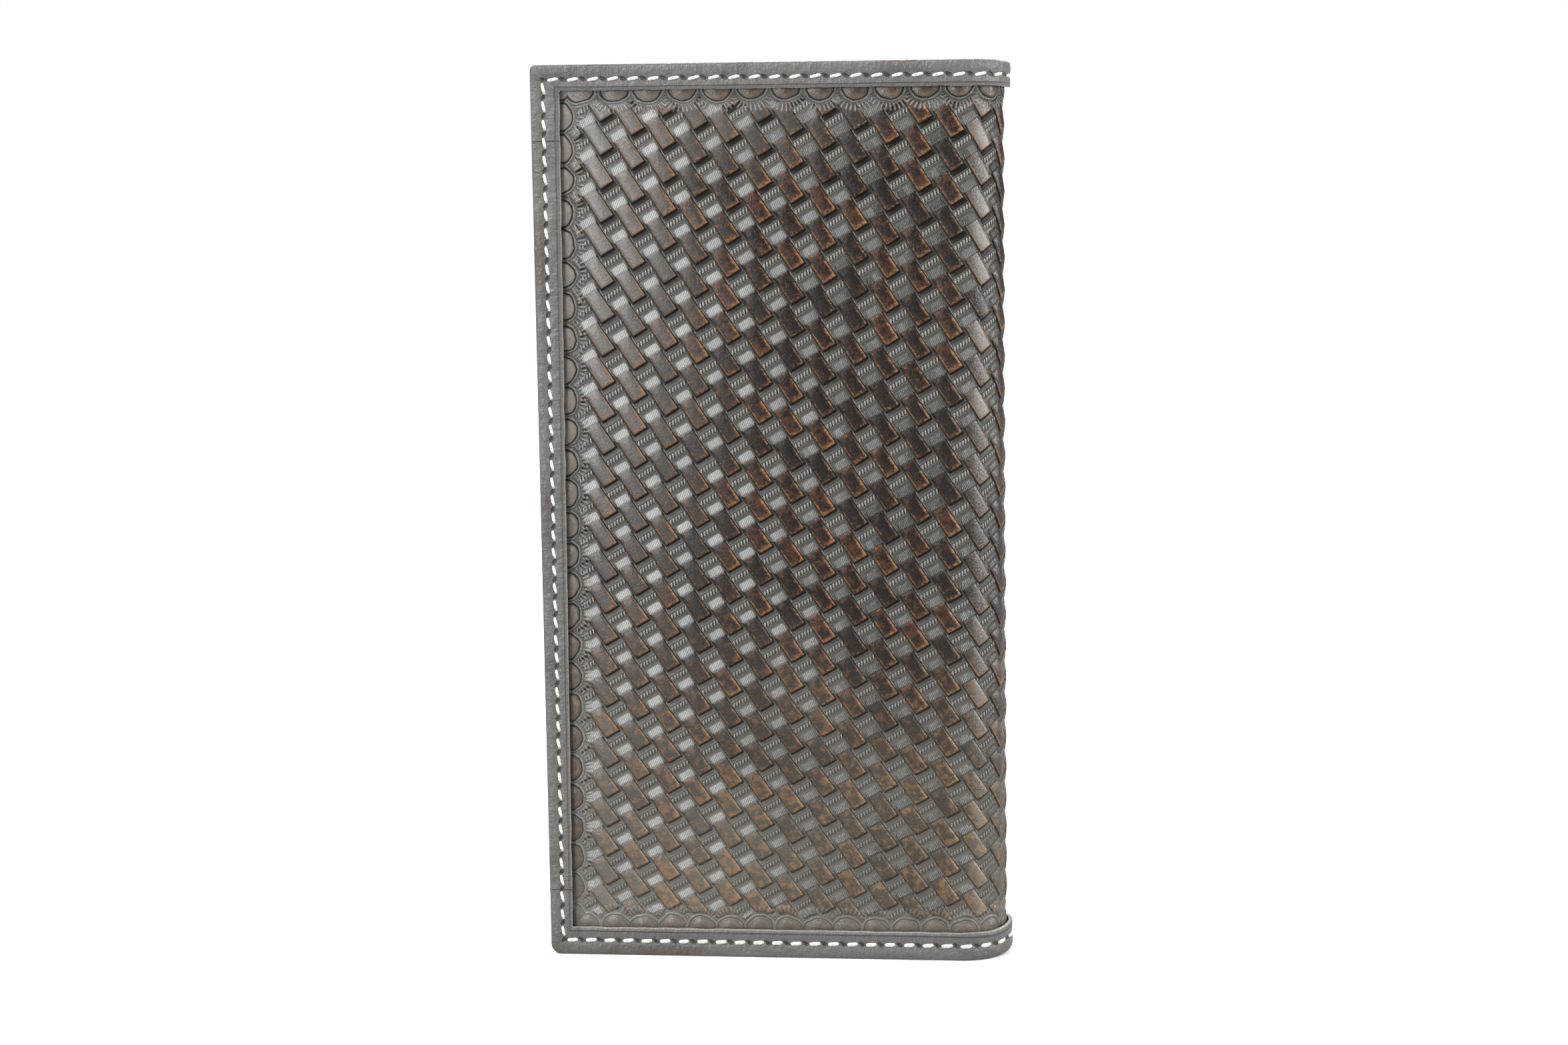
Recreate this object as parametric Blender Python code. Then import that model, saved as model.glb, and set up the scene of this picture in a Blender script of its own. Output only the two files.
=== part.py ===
"""A long western wallet, closed and standing on its lower edge.

Run with: blender --background --python part.py

The wallet is one wide tooled leather cover that folds round a spine, so it makes a
front cover, a spine and a back cover. A binding of thin leather wraps the whole edge.
Inside each cover lie a lining, a full-height bill panel and the card pockets.

Every leather is cut as a flat pattern and then folded. In the pattern, `along` runs
from the top of the fold at the spine (0) to the open edge, positive on the front cover
and negative on the back cover, `depth` runs inwards from the tooled face, and `up` is
the height above the lower edge.
"""

import math
from collections import namedtuple

import bmesh
import bpy
from mathutils import Vector

MM = 0.001

# The whole wallet, closed
HEIGHT = 184.5 * MM
WIDTH = 96.5 * MM
FOLD_RADIUS = 9.2 * MM  # of the tooled face, round the spine
CLOSED_GAP = 0.8 * MM  # between the two covers' bindings at the open edge
LAYER_GAP = 0.25 * MM  # between leathers that lie on each other
BODY_GAP = 0.3 * MM  # between pieces on either side of a fold line
FOLD_CLEARANCE = 0.2 * MM  # from the lining's bend to the ends of the flat leaves
FOLD_STEP = math.radians(8.0)  # the largest facet of a folded leather

# Leathers and cloth
COVER_THICKNESS = 1.3 * MM
LINING_THICKNESS = 0.3 * MM
BILL_SPACE = 0.65 * MM  # the full-height compartment between lining and bill panel
PANEL_THICKNESS = 0.6 * MM

# The binding, a channel of thin leather round the edge
BINDING_THICKNESS = 0.75 * MM
BINDING_WIDTH = 5.2 * MM
BINDING_ROUNDING = 0.6 * MM  # of the turned edge
BINDING_TOP_CORNER = 1.1 * MM
BINDING_BOTTOM_CORNER = 2.2 * MM
BINDING_INNER_CORNER = 0.3 * MM
TOP_TURN_DOWN = 15.5 * MM  # the top binding turns this far down the open side
BOTTOM_TURN_UP = 13.7 * MM
CORNER_STEPS = 4
ROUNDING_STEPS = 2
LEAF_RAMP = 9.0 * MM  # over which the binding thickens towards the open side
TOP_PINCH = 0.5 * MM  # how far the edge dips where the leather is folded hardest
BOTTOM_PINCH = 0.6 * MM
PINCH_SHARPNESS = 6

# Card pockets: T-shaped leaves in stacks of three
STACKS = 2
POCKETS_IN_STACK = 3
POCKET_BAND_OVERLAP = 8.0 * MM  # of a band below the next pocket's mouth
POCKET_DEPTH = 56.0 * MM  # from mouth to floor, for a card 54 mm tall
POCKET_LEATHER = 0.55 * MM
POCKET_CLOTH = 0.3 * MM  # of the tail behind the next pocket
POCKET_LAYER_GAP = 0.2 * MM
POCKET_CORNER = 2.0 * MM
POCKET_TAIL_INSET = 0.5 * MM  # of the tail from the band's round corner
THUMB_NOTCH_WIDTH = 20.0 * MM
THUMB_NOTCH_DROP = 2.6 * MM
THUMB_NOTCH_STEPS = 10
STACK_MARGIN = 0.8 * MM  # from the binding's inner edge to a stack
STACK_SPACING = 2.5 * MM  # between the upper and the lower stack

# The identity card window, below the front cover's card pockets
WINDOW_SIDE_BORDER = 10.0 * MM
WINDOW_FLOOR_BORDER = 8.0 * MM
WINDOW_MOUTH_BORDER = 13.0 * MM
WINDOW_CORNER = 3.0 * MM
WINDOW_SHEET_THICKNESS = 0.4 * MM
WINDOW_SHEET_LAP = 4.0 * MM  # of the clear sheet behind its frame

# Depths of what lies on what
LEATHER_INSET = BINDING_THICKNESS + LAYER_GAP  # of what lies inside the binding
BINDING_OUTER_DEPTH = -LEATHER_INSET
LINING_DEPTH = COVER_THICKNESS + LAYER_GAP
LINING_FACE = LINING_DEPTH + LINING_THICKNESS
PANEL_DEPTH = LINING_FACE + BILL_SPACE
PANEL_FACE = PANEL_DEPTH + PANEL_THICKNESS
POCKET_BASE_DEPTH = PANEL_FACE + LAYER_GAP
POCKET_PITCH = POCKET_LEATHER + POCKET_LAYER_GAP
STACK_FACE = POCKET_BASE_DEPTH + (POCKETS_IN_STACK - 1) * POCKET_PITCH + POCKET_LEATHER
SPINE_LEAF_DEPTH = LINING_FACE + LAYER_GAP + BINDING_THICKNESS
EDGE_LEAF_DEPTH = PANEL_FACE + LAYER_GAP + BINDING_THICKNESS
SIDE_LEAF_DEPTH = STACK_FACE + LAYER_GAP + BINDING_THICKNESS

# The fold and what it leaves for each cover
OUTERMOST_RADIUS = FOLD_RADIUS - BINDING_OUTER_DEPTH
FOLD_CENTRE = Vector((WIDTH / 2 - OUTERMOST_RADIUS, 0.0))
COVER_SPAN = FOLD_CENTRE.x + WIDTH / 2
CLOSING_TAPER = math.atan((FOLD_RADIUS - SIDE_LEAF_DEPTH - CLOSED_GAP / 2) / COVER_SPAN)
HALF_FOLD = math.pi / 2 + CLOSING_TAPER  # turn of the leather from spine top to cover
FOLD_LENGTH = HALF_FOLD * FOLD_RADIUS  # along the tooled face, spine top to cover
COVER_LENGTH = COVER_SPAN - OUTERMOST_RADIUS * math.sin(CLOSING_TAPER)
OPEN_EDGE = FOLD_LENGTH + COVER_LENGTH / math.cos(CLOSING_TAPER)
JOINT_ANGLE = HALF_FOLD / 2  # the fold lines lie halfway round each half
JOINT_ALONG = JOINT_ANGLE * FOLD_RADIUS
JOINT_HALF_GAP = BODY_GAP / 2

# Heights of the stacks, which fill the cover from binding to binding
STACK_INSET = BINDING_WIDTH + STACK_MARGIN
STACKS_ROOM = HEIGHT - 2 * STACK_INSET - (STACKS - 1) * STACK_SPACING
STACK_HEIGHT = STACKS_ROOM / STACKS
POCKET_STEP = (STACK_HEIGHT - POCKET_DEPTH) / (POCKETS_IN_STACK - 1)
UPPER_STACK_TOP = HEIGHT - STACK_INSET
LOWER_STACK_TOP = UPPER_STACK_TOP - STACK_HEIGHT - STACK_SPACING

FRONT = 1
BACK = -1

# Colours are linear RGB
TOOLED_BROWN = (0.040, 0.022, 0.014)
BINDING_BROWN = (0.052, 0.040, 0.034)
POCKET_BROWN = (0.045, 0.030, 0.022)
LINING_BLACK = (0.016, 0.014, 0.013)
CLEAR_SHEET = (0.80, 0.82, 0.82)

# One section of the binding: its outer and inner edge as (along, up) points, and the
# depth of its innermost face
Section = namedtuple("Section", "outer inner leaf")


def clear_scene():
    """Remove every object that the file starts with."""
    for obj in list(bpy.data.objects):
        bpy.data.objects.remove(obj, do_unlink=True)


def material(name, colour, roughness, alpha=1.0):
    """A plain leather, cloth or sheet finish."""
    made = bpy.data.materials.new(name)
    made.use_nodes = True
    shader = made.node_tree.nodes["Principled BSDF"]
    shader.inputs["Base Color"].default_value = (*colour, 1.0)
    shader.inputs["Roughness"].default_value = roughness
    shader.inputs["Metallic"].default_value = 0.0
    shader.inputs["Alpha"].default_value = alpha
    return made


def pinch(turn, up):
    """How far the fold draws a point of the edge towards the middle of the height."""
    share = max(0.0, math.cos(turn)) ** PINCH_SHARPNESS
    if up > HEIGHT / 2:
        return -TOP_PINCH * share
    return BOTTOM_PINCH * share


def folded(along, depth, up):
    """Where a point of the flat pattern lies once the leather is folded."""
    side = FRONT if along >= 0 else BACK
    turn = min(abs(along) / FOLD_RADIUS, HALF_FOLD)
    straight = abs(along) - FOLD_RADIUS * turn
    radius = FOLD_RADIUS - depth
    x = FOLD_CENTRE.x + radius * math.cos(turn) - straight * math.sin(turn)
    y = radius * math.sin(turn) + straight * math.cos(turn)
    return Vector((x, -side * y, up + pinch(turn, up)))


def flat(along, depth, up):
    """Where a point lies on a leaf that stays flat past the start of the fold."""
    side = FRONT if along >= 0 else BACK
    straight = abs(along) - FOLD_LENGTH
    radius = FOLD_RADIUS - depth
    x = FOLD_CENTRE.x + radius * math.cos(HALF_FOLD) - straight * math.sin(HALF_FOLD)
    y = radius * math.sin(HALF_FOLD) + straight * math.cos(HALF_FOLD)
    return Vector((x, -side * y, up))


def flat_leaf_end(depth):
    """The `along` at which a flat leaf's face of this depth nears the lining's bend."""
    room = FOLD_RADIUS - LINING_FACE - FOLD_CLEARANCE
    off_centre = FOLD_RADIUS - depth
    return FOLD_LENGTH - math.sqrt(room**2 - off_centre**2)


def fold_axis(side):
    """A point on the axis that one cover's fold turns about, at the lower edge."""
    x = FOLD_CENTRE.x + OUTERMOST_RADIUS * math.cos(JOINT_ANGLE)
    y = -side * OUTERMOST_RADIUS * math.sin(JOINT_ANGLE)
    return Vector((x, y, 0.0))


def axis_empty(name, location):
    """An empty that carries the pieces of one body."""
    empty = bpy.data.objects.new(name, None)
    empty.location = location
    bpy.context.scene.collection.objects.link(empty)
    return empty


def finish_piece(name, mesh, body, finish, place):
    """Fold the pattern mesh, face it outwards, and hang it on its body's empty."""
    for vert in mesh.verts:
        vert.co = place(*vert.co) - body.location
    bmesh.ops.recalc_face_normals(mesh, faces=mesh.faces)
    if mesh.calc_volume(signed=True) < 0:
        bmesh.ops.reverse_faces(mesh, faces=mesh.faces)
    data = bpy.data.meshes.new(name)
    mesh.to_mesh(data)
    mesh.free()
    data.materials.append(finish)
    data.shade_smooth()
    data.set_sharp_from_angle(angle=math.radians(30))
    obj = bpy.data.objects.new(name, data)
    obj.parent = body
    bpy.context.scene.collection.objects.link(obj)
    return obj


def fold_stations(start, end):
    """Values of `along` from start to end at which a folded leather is creased."""
    stations = [start]
    if start < FOLD_LENGTH:
        stop = min(end, FOLD_LENGTH)
        count = max(1, math.ceil((stop - start) / (FOLD_STEP * FOLD_RADIUS)))
        stations += [start + (stop - start) * i / count for i in range(1, count + 1)]
    if end > stations[-1]:
        stations.append(end)
    return stations


def slice_mesh(mesh, point, normal):
    """Cut every face of a pattern mesh along a plane, keeping both sides."""
    everything = mesh.verts[:] + mesh.edges[:] + mesh.faces[:]
    bmesh.ops.bisect_plane(mesh, geom=everything, plane_co=point, plane_no=normal)


def corner_arc(centre, radius, first, last):
    """Points round a corner in the pattern, between two directions in degrees."""
    points = []
    for i in range(CORNER_STEPS + 1):
        angle = math.radians(first + (last - first) * i / CORNER_STEPS)
        along = centre[0] + radius * math.cos(angle)
        up = centre[1] + radius * math.sin(angle)
        points.append((along, up))
    return points


def extrude_faces(mesh, faces, offset):
    """Grow a region of faces by an offset, with walls round it."""
    grown = bmesh.ops.extrude_face_region(mesh, geom=faces)
    moved = [item for item in grown["geom"] if isinstance(item, bmesh.types.BMVert)]
    bmesh.ops.translate(mesh, vec=offset, verts=moved)


def extrude_outline(points, side, depth, thickness):
    """A closed pattern solid from an outline of (along, up) points."""
    mesh = bmesh.new()
    verts = [mesh.verts.new((side * along, depth, up)) for along, up in points]
    face = mesh.faces.new(verts)
    extrude_faces(mesh, [face], (0, thickness, 0))
    return mesh


def cover_outline(start):
    """Outline of a leather that fills the binding, from `start` to the open edge."""
    end = OPEN_EDGE - LEATHER_INSET
    low = LEATHER_INSET
    high = HEIGHT - LEATHER_INSET
    top_centre = (end - BINDING_TOP_CORNER, high - BINDING_TOP_CORNER)
    bottom_centre = (end - BINDING_BOTTOM_CORNER, low + BINDING_BOTTOM_CORNER)
    points = [(start, low)]
    points += corner_arc(bottom_centre, BINDING_BOTTOM_CORNER, -90, 0)
    points += corner_arc(top_centre, BINDING_TOP_CORNER, 0, 90)
    points.append((start, high))
    return points


def folded_layer(name, side, body, finish, depth, thickness):
    """A leather that follows the cover from the fold line to the open edge."""
    start = JOINT_ALONG + JOINT_HALF_GAP
    mesh = extrude_outline(cover_outline(start), side, depth, thickness)
    for station in fold_stations(start, OPEN_EDGE)[1:-1]:
        slice_mesh(mesh, (side * station, 0, 0), (1, 0, 0))
    finish_piece(name, mesh, body, finish, folded)


def spine_layer(name, body, finish, depth, thickness):
    """A leather between the two fold lines."""
    reach = JOINT_ALONG - JOINT_HALF_GAP
    low = LEATHER_INSET
    high = HEIGHT - LEATHER_INSET
    outline = [(-reach, low), (reach, low), (reach, high), (-reach, high)]
    mesh = extrude_outline(outline, FRONT, depth, thickness)
    half = fold_stations(0.0, reach)[:-1]
    for station in half + [-station for station in half[1:]]:
        slice_mesh(mesh, (station, 0, 0), (1, 0, 0))
    finish_piece(name, mesh, body, finish, folded)


def edge_leaf_depth(along):
    """Depth of the binding's innermost face on the upper and lower edges.

    It hugs the lining at the spine, the bill panel on the cover and the card pockets
    at the open side.
    """
    fold_share = min(abs(along) / JOINT_ALONG, 1.0)
    depth = SPINE_LEAF_DEPTH + (EDGE_LEAF_DEPTH - SPINE_LEAF_DEPTH) * fold_share
    past_ramp_start = abs(along) - (OPEN_EDGE - BINDING_WIDTH - LEAF_RAMP)
    ramp_share = min(max(past_ramp_start / LEAF_RAMP, 0.0), 1.0)
    return depth + (SIDE_LEAF_DEPTH - depth) * ramp_share


def channel_profile(leaf):
    """The binding's section as (distance in from the edge, depth) points."""
    outer = BINDING_OUTER_DEPTH
    thick = BINDING_THICKNESS
    rounding = BINDING_ROUNDING
    points = [
        (BINDING_WIDTH, outer),
        (BINDING_WIDTH, outer + thick),
        (thick, outer + thick),
        (thick, leaf - thick),
        (BINDING_WIDTH, leaf - thick),
        (BINDING_WIDTH, leaf),
    ]
    for depth, first in ((leaf - rounding, 90), (outer + rounding, 180)):
        for i in range(ROUNDING_STEPS + 1):
            angle = math.radians(first + 90 * i / ROUNDING_STEPS)
            inwards = rounding + rounding * math.cos(angle)
            points.append((inwards, depth + rounding * math.sin(angle)))
    return points


def channel(name, sections, side, body, finish):
    """Join the binding's sections into one channel with closed ends."""
    mesh = bmesh.new()
    loops = []
    for section in sections:
        outer = Vector(section.outer)
        inner = Vector(section.inner)
        ring = []
        for inwards, depth in channel_profile(section.leaf):
            spot = outer.lerp(inner, inwards / BINDING_WIDTH)
            ring.append(mesh.verts.new((side * spot.x, depth, spot.y)))
        pairs = zip(ring, ring[1:] + ring[:1])
        loops.append([mesh.edges.new(pair) for pair in pairs])
    for first, second in zip(loops, loops[1:]):
        bmesh.ops.bridge_loops(mesh, edges=first + second)
    bmesh.ops.edgeloop_fill(mesh, edges=loops[0])
    bmesh.ops.edgeloop_fill(mesh, edges=loops[-1])
    finish_piece(name, mesh, body, finish, folded)


def edge_section(along, edge, towards):
    """A section of the upper or lower binding, square to the edge."""
    inner = edge + towards * BINDING_WIDTH
    return Section((along, edge), (along, inner), edge_leaf_depth(along))


def edge_binding(name, side, body, finish, edge, corner, turn):
    """The upper or lower binding of a cover, with its turn along the open side."""
    towards = -1 if edge > HEIGHT / 2 else 1
    start = JOINT_ALONG + JOINT_HALF_GAP
    inner_end = OPEN_EDGE - BINDING_WIDTH
    stations = fold_stations(start, inner_end - LEAF_RAMP)
    sections = [edge_section(along, edge, towards) for along in stations]
    outer_centre = (OPEN_EDGE - corner, edge + towards * corner)
    inner_inset = BINDING_WIDTH + BINDING_INNER_CORNER
    inner_centre = (OPEN_EDGE - inner_inset, edge + towards * inner_inset)
    outer_arc = corner_arc(outer_centre, corner, -towards * 90, 0)
    inner_arc = corner_arc(inner_centre, BINDING_INNER_CORNER, -towards * 90, 0)
    for outer, inner in zip(outer_arc, inner_arc):
        sections.append(Section(outer, inner, SIDE_LEAF_DEPTH))
    end = edge + towards * (turn - JOINT_HALF_GAP)
    sections.append(Section((OPEN_EDGE, end), (inner_end, end), SIDE_LEAF_DEPTH))
    channel(name, sections, side, body, finish)


def side_binding(name, side, body, finish):
    """The binding along the open side, between the two turned corners."""
    low = BOTTOM_TURN_UP + JOINT_HALF_GAP
    high = HEIGHT - TOP_TURN_DOWN - JOINT_HALF_GAP
    inner = OPEN_EDGE - BINDING_WIDTH
    sections = [
        Section((OPEN_EDGE, up), (inner, up), SIDE_LEAF_DEPTH) for up in (low, high)
    ]
    channel(name, sections, side, body, finish)


def spine_binding(name, body, finish, edge):
    """The binding over the fold, between the two fold lines."""
    towards = -1 if edge > HEIGHT / 2 else 1
    half = fold_stations(0.0, JOINT_ALONG - JOINT_HALF_GAP)
    stations = [-station for station in reversed(half[1:])] + half
    sections = [edge_section(along, edge, towards) for along in stations]
    channel(name, sections, FRONT, body, finish)


def bill_panel(name, side, body, finish):
    """The full-height panel whose skived free edge is the bill pocket's mouth."""
    start = flat_leaf_end(PANEL_DEPTH)
    skive = start - flat_leaf_end(PANEL_FACE)
    mesh = extrude_outline(cover_outline(start), side, PANEL_DEPTH, PANEL_THICKNESS)
    middle_depth = PANEL_DEPTH + PANEL_THICKNESS / 2
    free_edge = [
        vert
        for vert in mesh.verts
        if abs(vert.co.x) < FOLD_LENGTH and vert.co.y > middle_depth
    ]
    bmesh.ops.translate(mesh, vec=(-side * skive, 0, 0), verts=free_edge)
    finish_piece(name, mesh, body, finish, flat)


def pocket_ends():
    """The `along` of a pocket's end at the spine and of its end in the binding."""
    return flat_leaf_end(PANEL_FACE), OPEN_EDGE - LEATHER_INSET


def rounded_floor(low, high, floor, radius):
    """The lower edge of a pocket, with a round corner at each end."""
    points = corner_arc((low + radius, floor + radius), radius, 180, 270)
    points += corner_arc((high - radius, floor + radius), radius, 270, 360)
    return points


def pocket_band(side, mouth, floor, depth):
    """The leather that shows of one pocket, with a thumb notch in its mouth."""
    low, high = pocket_ends()
    middle = (low + high) / 2
    points = rounded_floor(low, high, floor, POCKET_CORNER)
    points.append((high, mouth))
    for i in range(THUMB_NOTCH_STEPS + 1):
        share = i / THUMB_NOTCH_STEPS
        along = middle + THUMB_NOTCH_WIDTH * (0.5 - share)
        drop = THUMB_NOTCH_DROP * math.sin(math.pi * share) ** 2
        points.append((along, mouth - drop))
    points.append((low, mouth))
    return extrude_outline(points, side, depth, POCKET_LEATHER)


def add_tail(mesh, side, band_floor, floor, depth):
    """Grow the thin cloth tail of a T-shaped pocket down from its band."""
    ends = pocket_ends()
    inset = POCKET_CORNER + POCKET_TAIL_INSET
    low = ends[0] + inset
    high = ends[1] - inset
    slice_mesh(mesh, (side * low, 0, 0), (1, 0, 0))
    slice_mesh(mesh, (side * high, 0, 0), (1, 0, 0))
    slice_mesh(mesh, (0, depth + POCKET_CLOTH, 0), (0, 1, 0))
    root = []
    for face in mesh.faces:
        middle = face.calc_center_median()
        on_floor = all(vert.co.z < band_floor + LAYER_GAP / 10 for vert in face.verts)
        in_cloth = middle.y < depth + POCKET_CLOTH
        if on_floor and in_cloth and low < abs(middle.x) < high:
            root.append(face)
    extrude_faces(mesh, root, (0, 0, floor - band_floor))
    bmesh.ops.delete(mesh, geom=root, context="FACES_ONLY")


def pocket_stack(prefix, side, body, finish, top):
    """Card pockets, each a step below and in front of the one behind it."""
    for index in range(POCKETS_IN_STACK):
        mouth = top - index * POCKET_STEP
        floor = mouth - POCKET_DEPTH
        depth = POCKET_BASE_DEPTH + index * POCKET_PITCH
        if index < POCKETS_IN_STACK - 1:
            band_floor = mouth - POCKET_STEP - POCKET_BAND_OVERLAP
            mesh = pocket_band(side, mouth, band_floor, depth)
            add_tail(mesh, side, band_floor, floor, depth)
        else:
            mesh = pocket_band(side, mouth, floor, depth)
        finish_piece(f"{prefix}_card_pocket_{index + 1}", mesh, body, finish, flat)


def rounded_rectangle(low, high, floor, mouth, radius):
    """The (along, up) points of a rectangle with four round corners."""
    points = rounded_floor(low, high, floor, radius)
    points += corner_arc((high - radius, mouth - radius), radius, 0, 90)
    points += corner_arc((low + radius, mouth - radius), radius, 90, 180)
    return points


def window_opening():
    """The (low, high, floor, mouth) of the window's clear view."""
    low, high = pocket_ends()
    floor = LOWER_STACK_TOP - STACK_HEIGHT + WINDOW_FLOOR_BORDER
    mouth = LOWER_STACK_TOP - WINDOW_MOUTH_BORDER
    return low + WINDOW_SIDE_BORDER, high - WINDOW_SIDE_BORDER, floor, mouth


def window_sheet(body, finish):
    """The clear sheet behind the identity card window's frame."""
    low, high, floor, mouth = window_opening()
    lap = WINDOW_SHEET_LAP
    outline = rounded_rectangle(
        low - lap, high + lap, floor - lap, mouth + lap, WINDOW_CORNER
    )
    mesh = extrude_outline(outline, FRONT, POCKET_BASE_DEPTH, WINDOW_SHEET_THICKNESS)
    finish_piece("id_window_sheet", mesh, body, finish, flat)


def edge_loop(mesh, points, depth):
    """A closed loop of edges through an outline of (along, up) points."""
    verts = [mesh.verts.new((along, depth, up)) for along, up in points]
    return [mesh.edges.new(pair) for pair in zip(verts, verts[1:] + verts[:1])]


def window_frame(body, finish):
    """The leather frame round the identity card window."""
    low, high = pocket_ends()
    floor = LOWER_STACK_TOP - STACK_HEIGHT
    outside = rounded_rectangle(low, high, floor, LOWER_STACK_TOP, POCKET_CORNER)
    inside = rounded_rectangle(*window_opening(), WINDOW_CORNER)
    depth = POCKET_BASE_DEPTH + WINDOW_SHEET_THICKNESS + POCKET_LAYER_GAP
    mesh = bmesh.new()
    edges = edge_loop(mesh, outside, depth) + edge_loop(mesh, inside, depth)
    filled = bmesh.ops.triangle_fill(mesh, use_beauty=True, edges=edges)
    faces = [item for item in filled["geom"] if isinstance(item, bmesh.types.BMFace)]
    extrude_faces(mesh, faces, (0, POCKET_LEATHER, 0))
    finish_piece("id_window_frame", mesh, body, finish, flat)


def cover(prefix, side, body, finishes):
    """All that one cover carries apart from its pockets."""
    tooled = finishes["tooled"]
    lining = finishes["lining"]
    binding = finishes["binding"]
    folded_layer(f"{prefix}_cover_leather", side, body, tooled, 0.0, COVER_THICKNESS)
    folded_layer(f"{prefix}_lining", side, body, lining, LINING_DEPTH, LINING_THICKNESS)
    bill_panel(f"{prefix}_bill_panel", side, body, finishes["pocket"])
    upper = (HEIGHT, BINDING_TOP_CORNER, TOP_TURN_DOWN)
    edge_binding(f"{prefix}_binding_top", side, body, binding, *upper)
    side_binding(f"{prefix}_binding_side", side, body, binding)
    lower = (0.0, BINDING_BOTTOM_CORNER, BOTTOM_TURN_UP)
    edge_binding(f"{prefix}_binding_bottom", side, body, binding, *lower)


def spine(body, finishes):
    """The leather, lining and bindings between the two fold lines."""
    spine_layer("spine_leather", body, finishes["tooled"], 0.0, COVER_THICKNESS)
    spine_layer("spine_lining", body, finishes["lining"], LINING_DEPTH, LINING_THICKNESS)
    spine_binding("spine_binding_top", body, finishes["binding"], HEIGHT)
    spine_binding("spine_binding_bottom", body, finishes["binding"], 0.0)


def main():
    """Build the wallet, body by body."""
    clear_scene()
    finishes = {
        "tooled": material("tooled_leather", TOOLED_BROWN, 0.42),
        "binding": material("binding_leather", BINDING_BROWN, 0.55),
        "pocket": material("pocket_leather", POCKET_BROWN, 0.55),
        "lining": material("lining_cloth", LINING_BLACK, 0.85),
        "sheet": material("clear_sheet", CLEAR_SHEET, 0.08, alpha=0.35),
    }
    front = axis_empty("front_fold_axis", fold_axis(FRONT))
    middle = axis_empty("spine_centre", FOLD_CENTRE.to_3d())
    back = axis_empty("back_fold_axis", fold_axis(BACK))

    cover("front", FRONT, front, finishes)
    pocket_stack("front_upper", FRONT, front, finishes["pocket"], UPPER_STACK_TOP)
    window_sheet(front, finishes["sheet"])
    window_frame(front, finishes["pocket"])

    spine(middle, finishes)

    cover("back", BACK, back, finishes)
    pocket_stack("back_upper", BACK, back, finishes["pocket"], UPPER_STACK_TOP)
    pocket_stack("back_lower", BACK, back, finishes["pocket"], LOWER_STACK_TOP)


main()
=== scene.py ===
"""Dresses the rodeo wallet: stamped cover, binding, seams, pockets, linings and studio.

Everything is laid out on the flat pattern of the leather and then folded round the
spine. Pattern lengths are in millimetres: `along` runs from the middle of the spine
over the front cover (positive) or the back cover (negative) to the open edge, `depth`
goes inwards from the tooled face, and `up` is the height.
"""

import logging
import math
from dataclasses import dataclass
from enum import Enum
from typing import Callable, Iterable, Optional, Sequence

import bmesh
import bpy
from mathutils import Matrix, Vector, noise


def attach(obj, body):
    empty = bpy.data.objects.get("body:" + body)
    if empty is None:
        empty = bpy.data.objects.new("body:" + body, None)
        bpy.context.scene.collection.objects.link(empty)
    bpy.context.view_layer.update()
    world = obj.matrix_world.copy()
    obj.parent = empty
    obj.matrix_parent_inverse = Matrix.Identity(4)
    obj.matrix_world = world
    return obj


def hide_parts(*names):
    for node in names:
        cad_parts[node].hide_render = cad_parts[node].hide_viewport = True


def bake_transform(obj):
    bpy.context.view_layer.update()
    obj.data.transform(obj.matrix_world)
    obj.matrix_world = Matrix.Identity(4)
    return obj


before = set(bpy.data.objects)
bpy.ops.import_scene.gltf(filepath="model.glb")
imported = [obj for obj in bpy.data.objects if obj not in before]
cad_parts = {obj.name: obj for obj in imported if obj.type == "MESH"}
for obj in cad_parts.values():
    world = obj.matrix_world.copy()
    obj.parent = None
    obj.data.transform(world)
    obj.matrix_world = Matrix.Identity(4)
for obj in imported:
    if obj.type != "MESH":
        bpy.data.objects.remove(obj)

MM = 0.001
IMAGE_WIDTH = 2352
SENSOR_WIDTH = 36.0
NOISE_SEED = 7  # without a seed, noise_vector takes one from the clock
OWN_HALF = 1e-7  # least `along`, so that a point folds with its own half

Socket = bpy.types.NodeSocket
Value = object  # a socket, a number or a tuple, as a shader input takes them

log = logging.getLogger("wallet")


class Side(Enum):
    """The two halves of the wallet, by the sign of their `along`."""

    FRONT = 1
    BACK = -1

    @property
    def body(self) -> str:
        """The body that this half's cover rides on."""
        return "front_cover" if self is Side.FRONT else "back_cover"

    @property
    def word(self) -> str:
        """The word that this half's pieces start with."""
        return "front" if self is Side.FRONT else "back"


class Face(Enum):
    """The two faces of a bound edge that a seam shows on."""

    OUTSIDE = "outside"
    INSIDE = "inside"


# ---------------------------------------------------------------------------
# The flat pattern and how it folds
# ---------------------------------------------------------------------------


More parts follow.
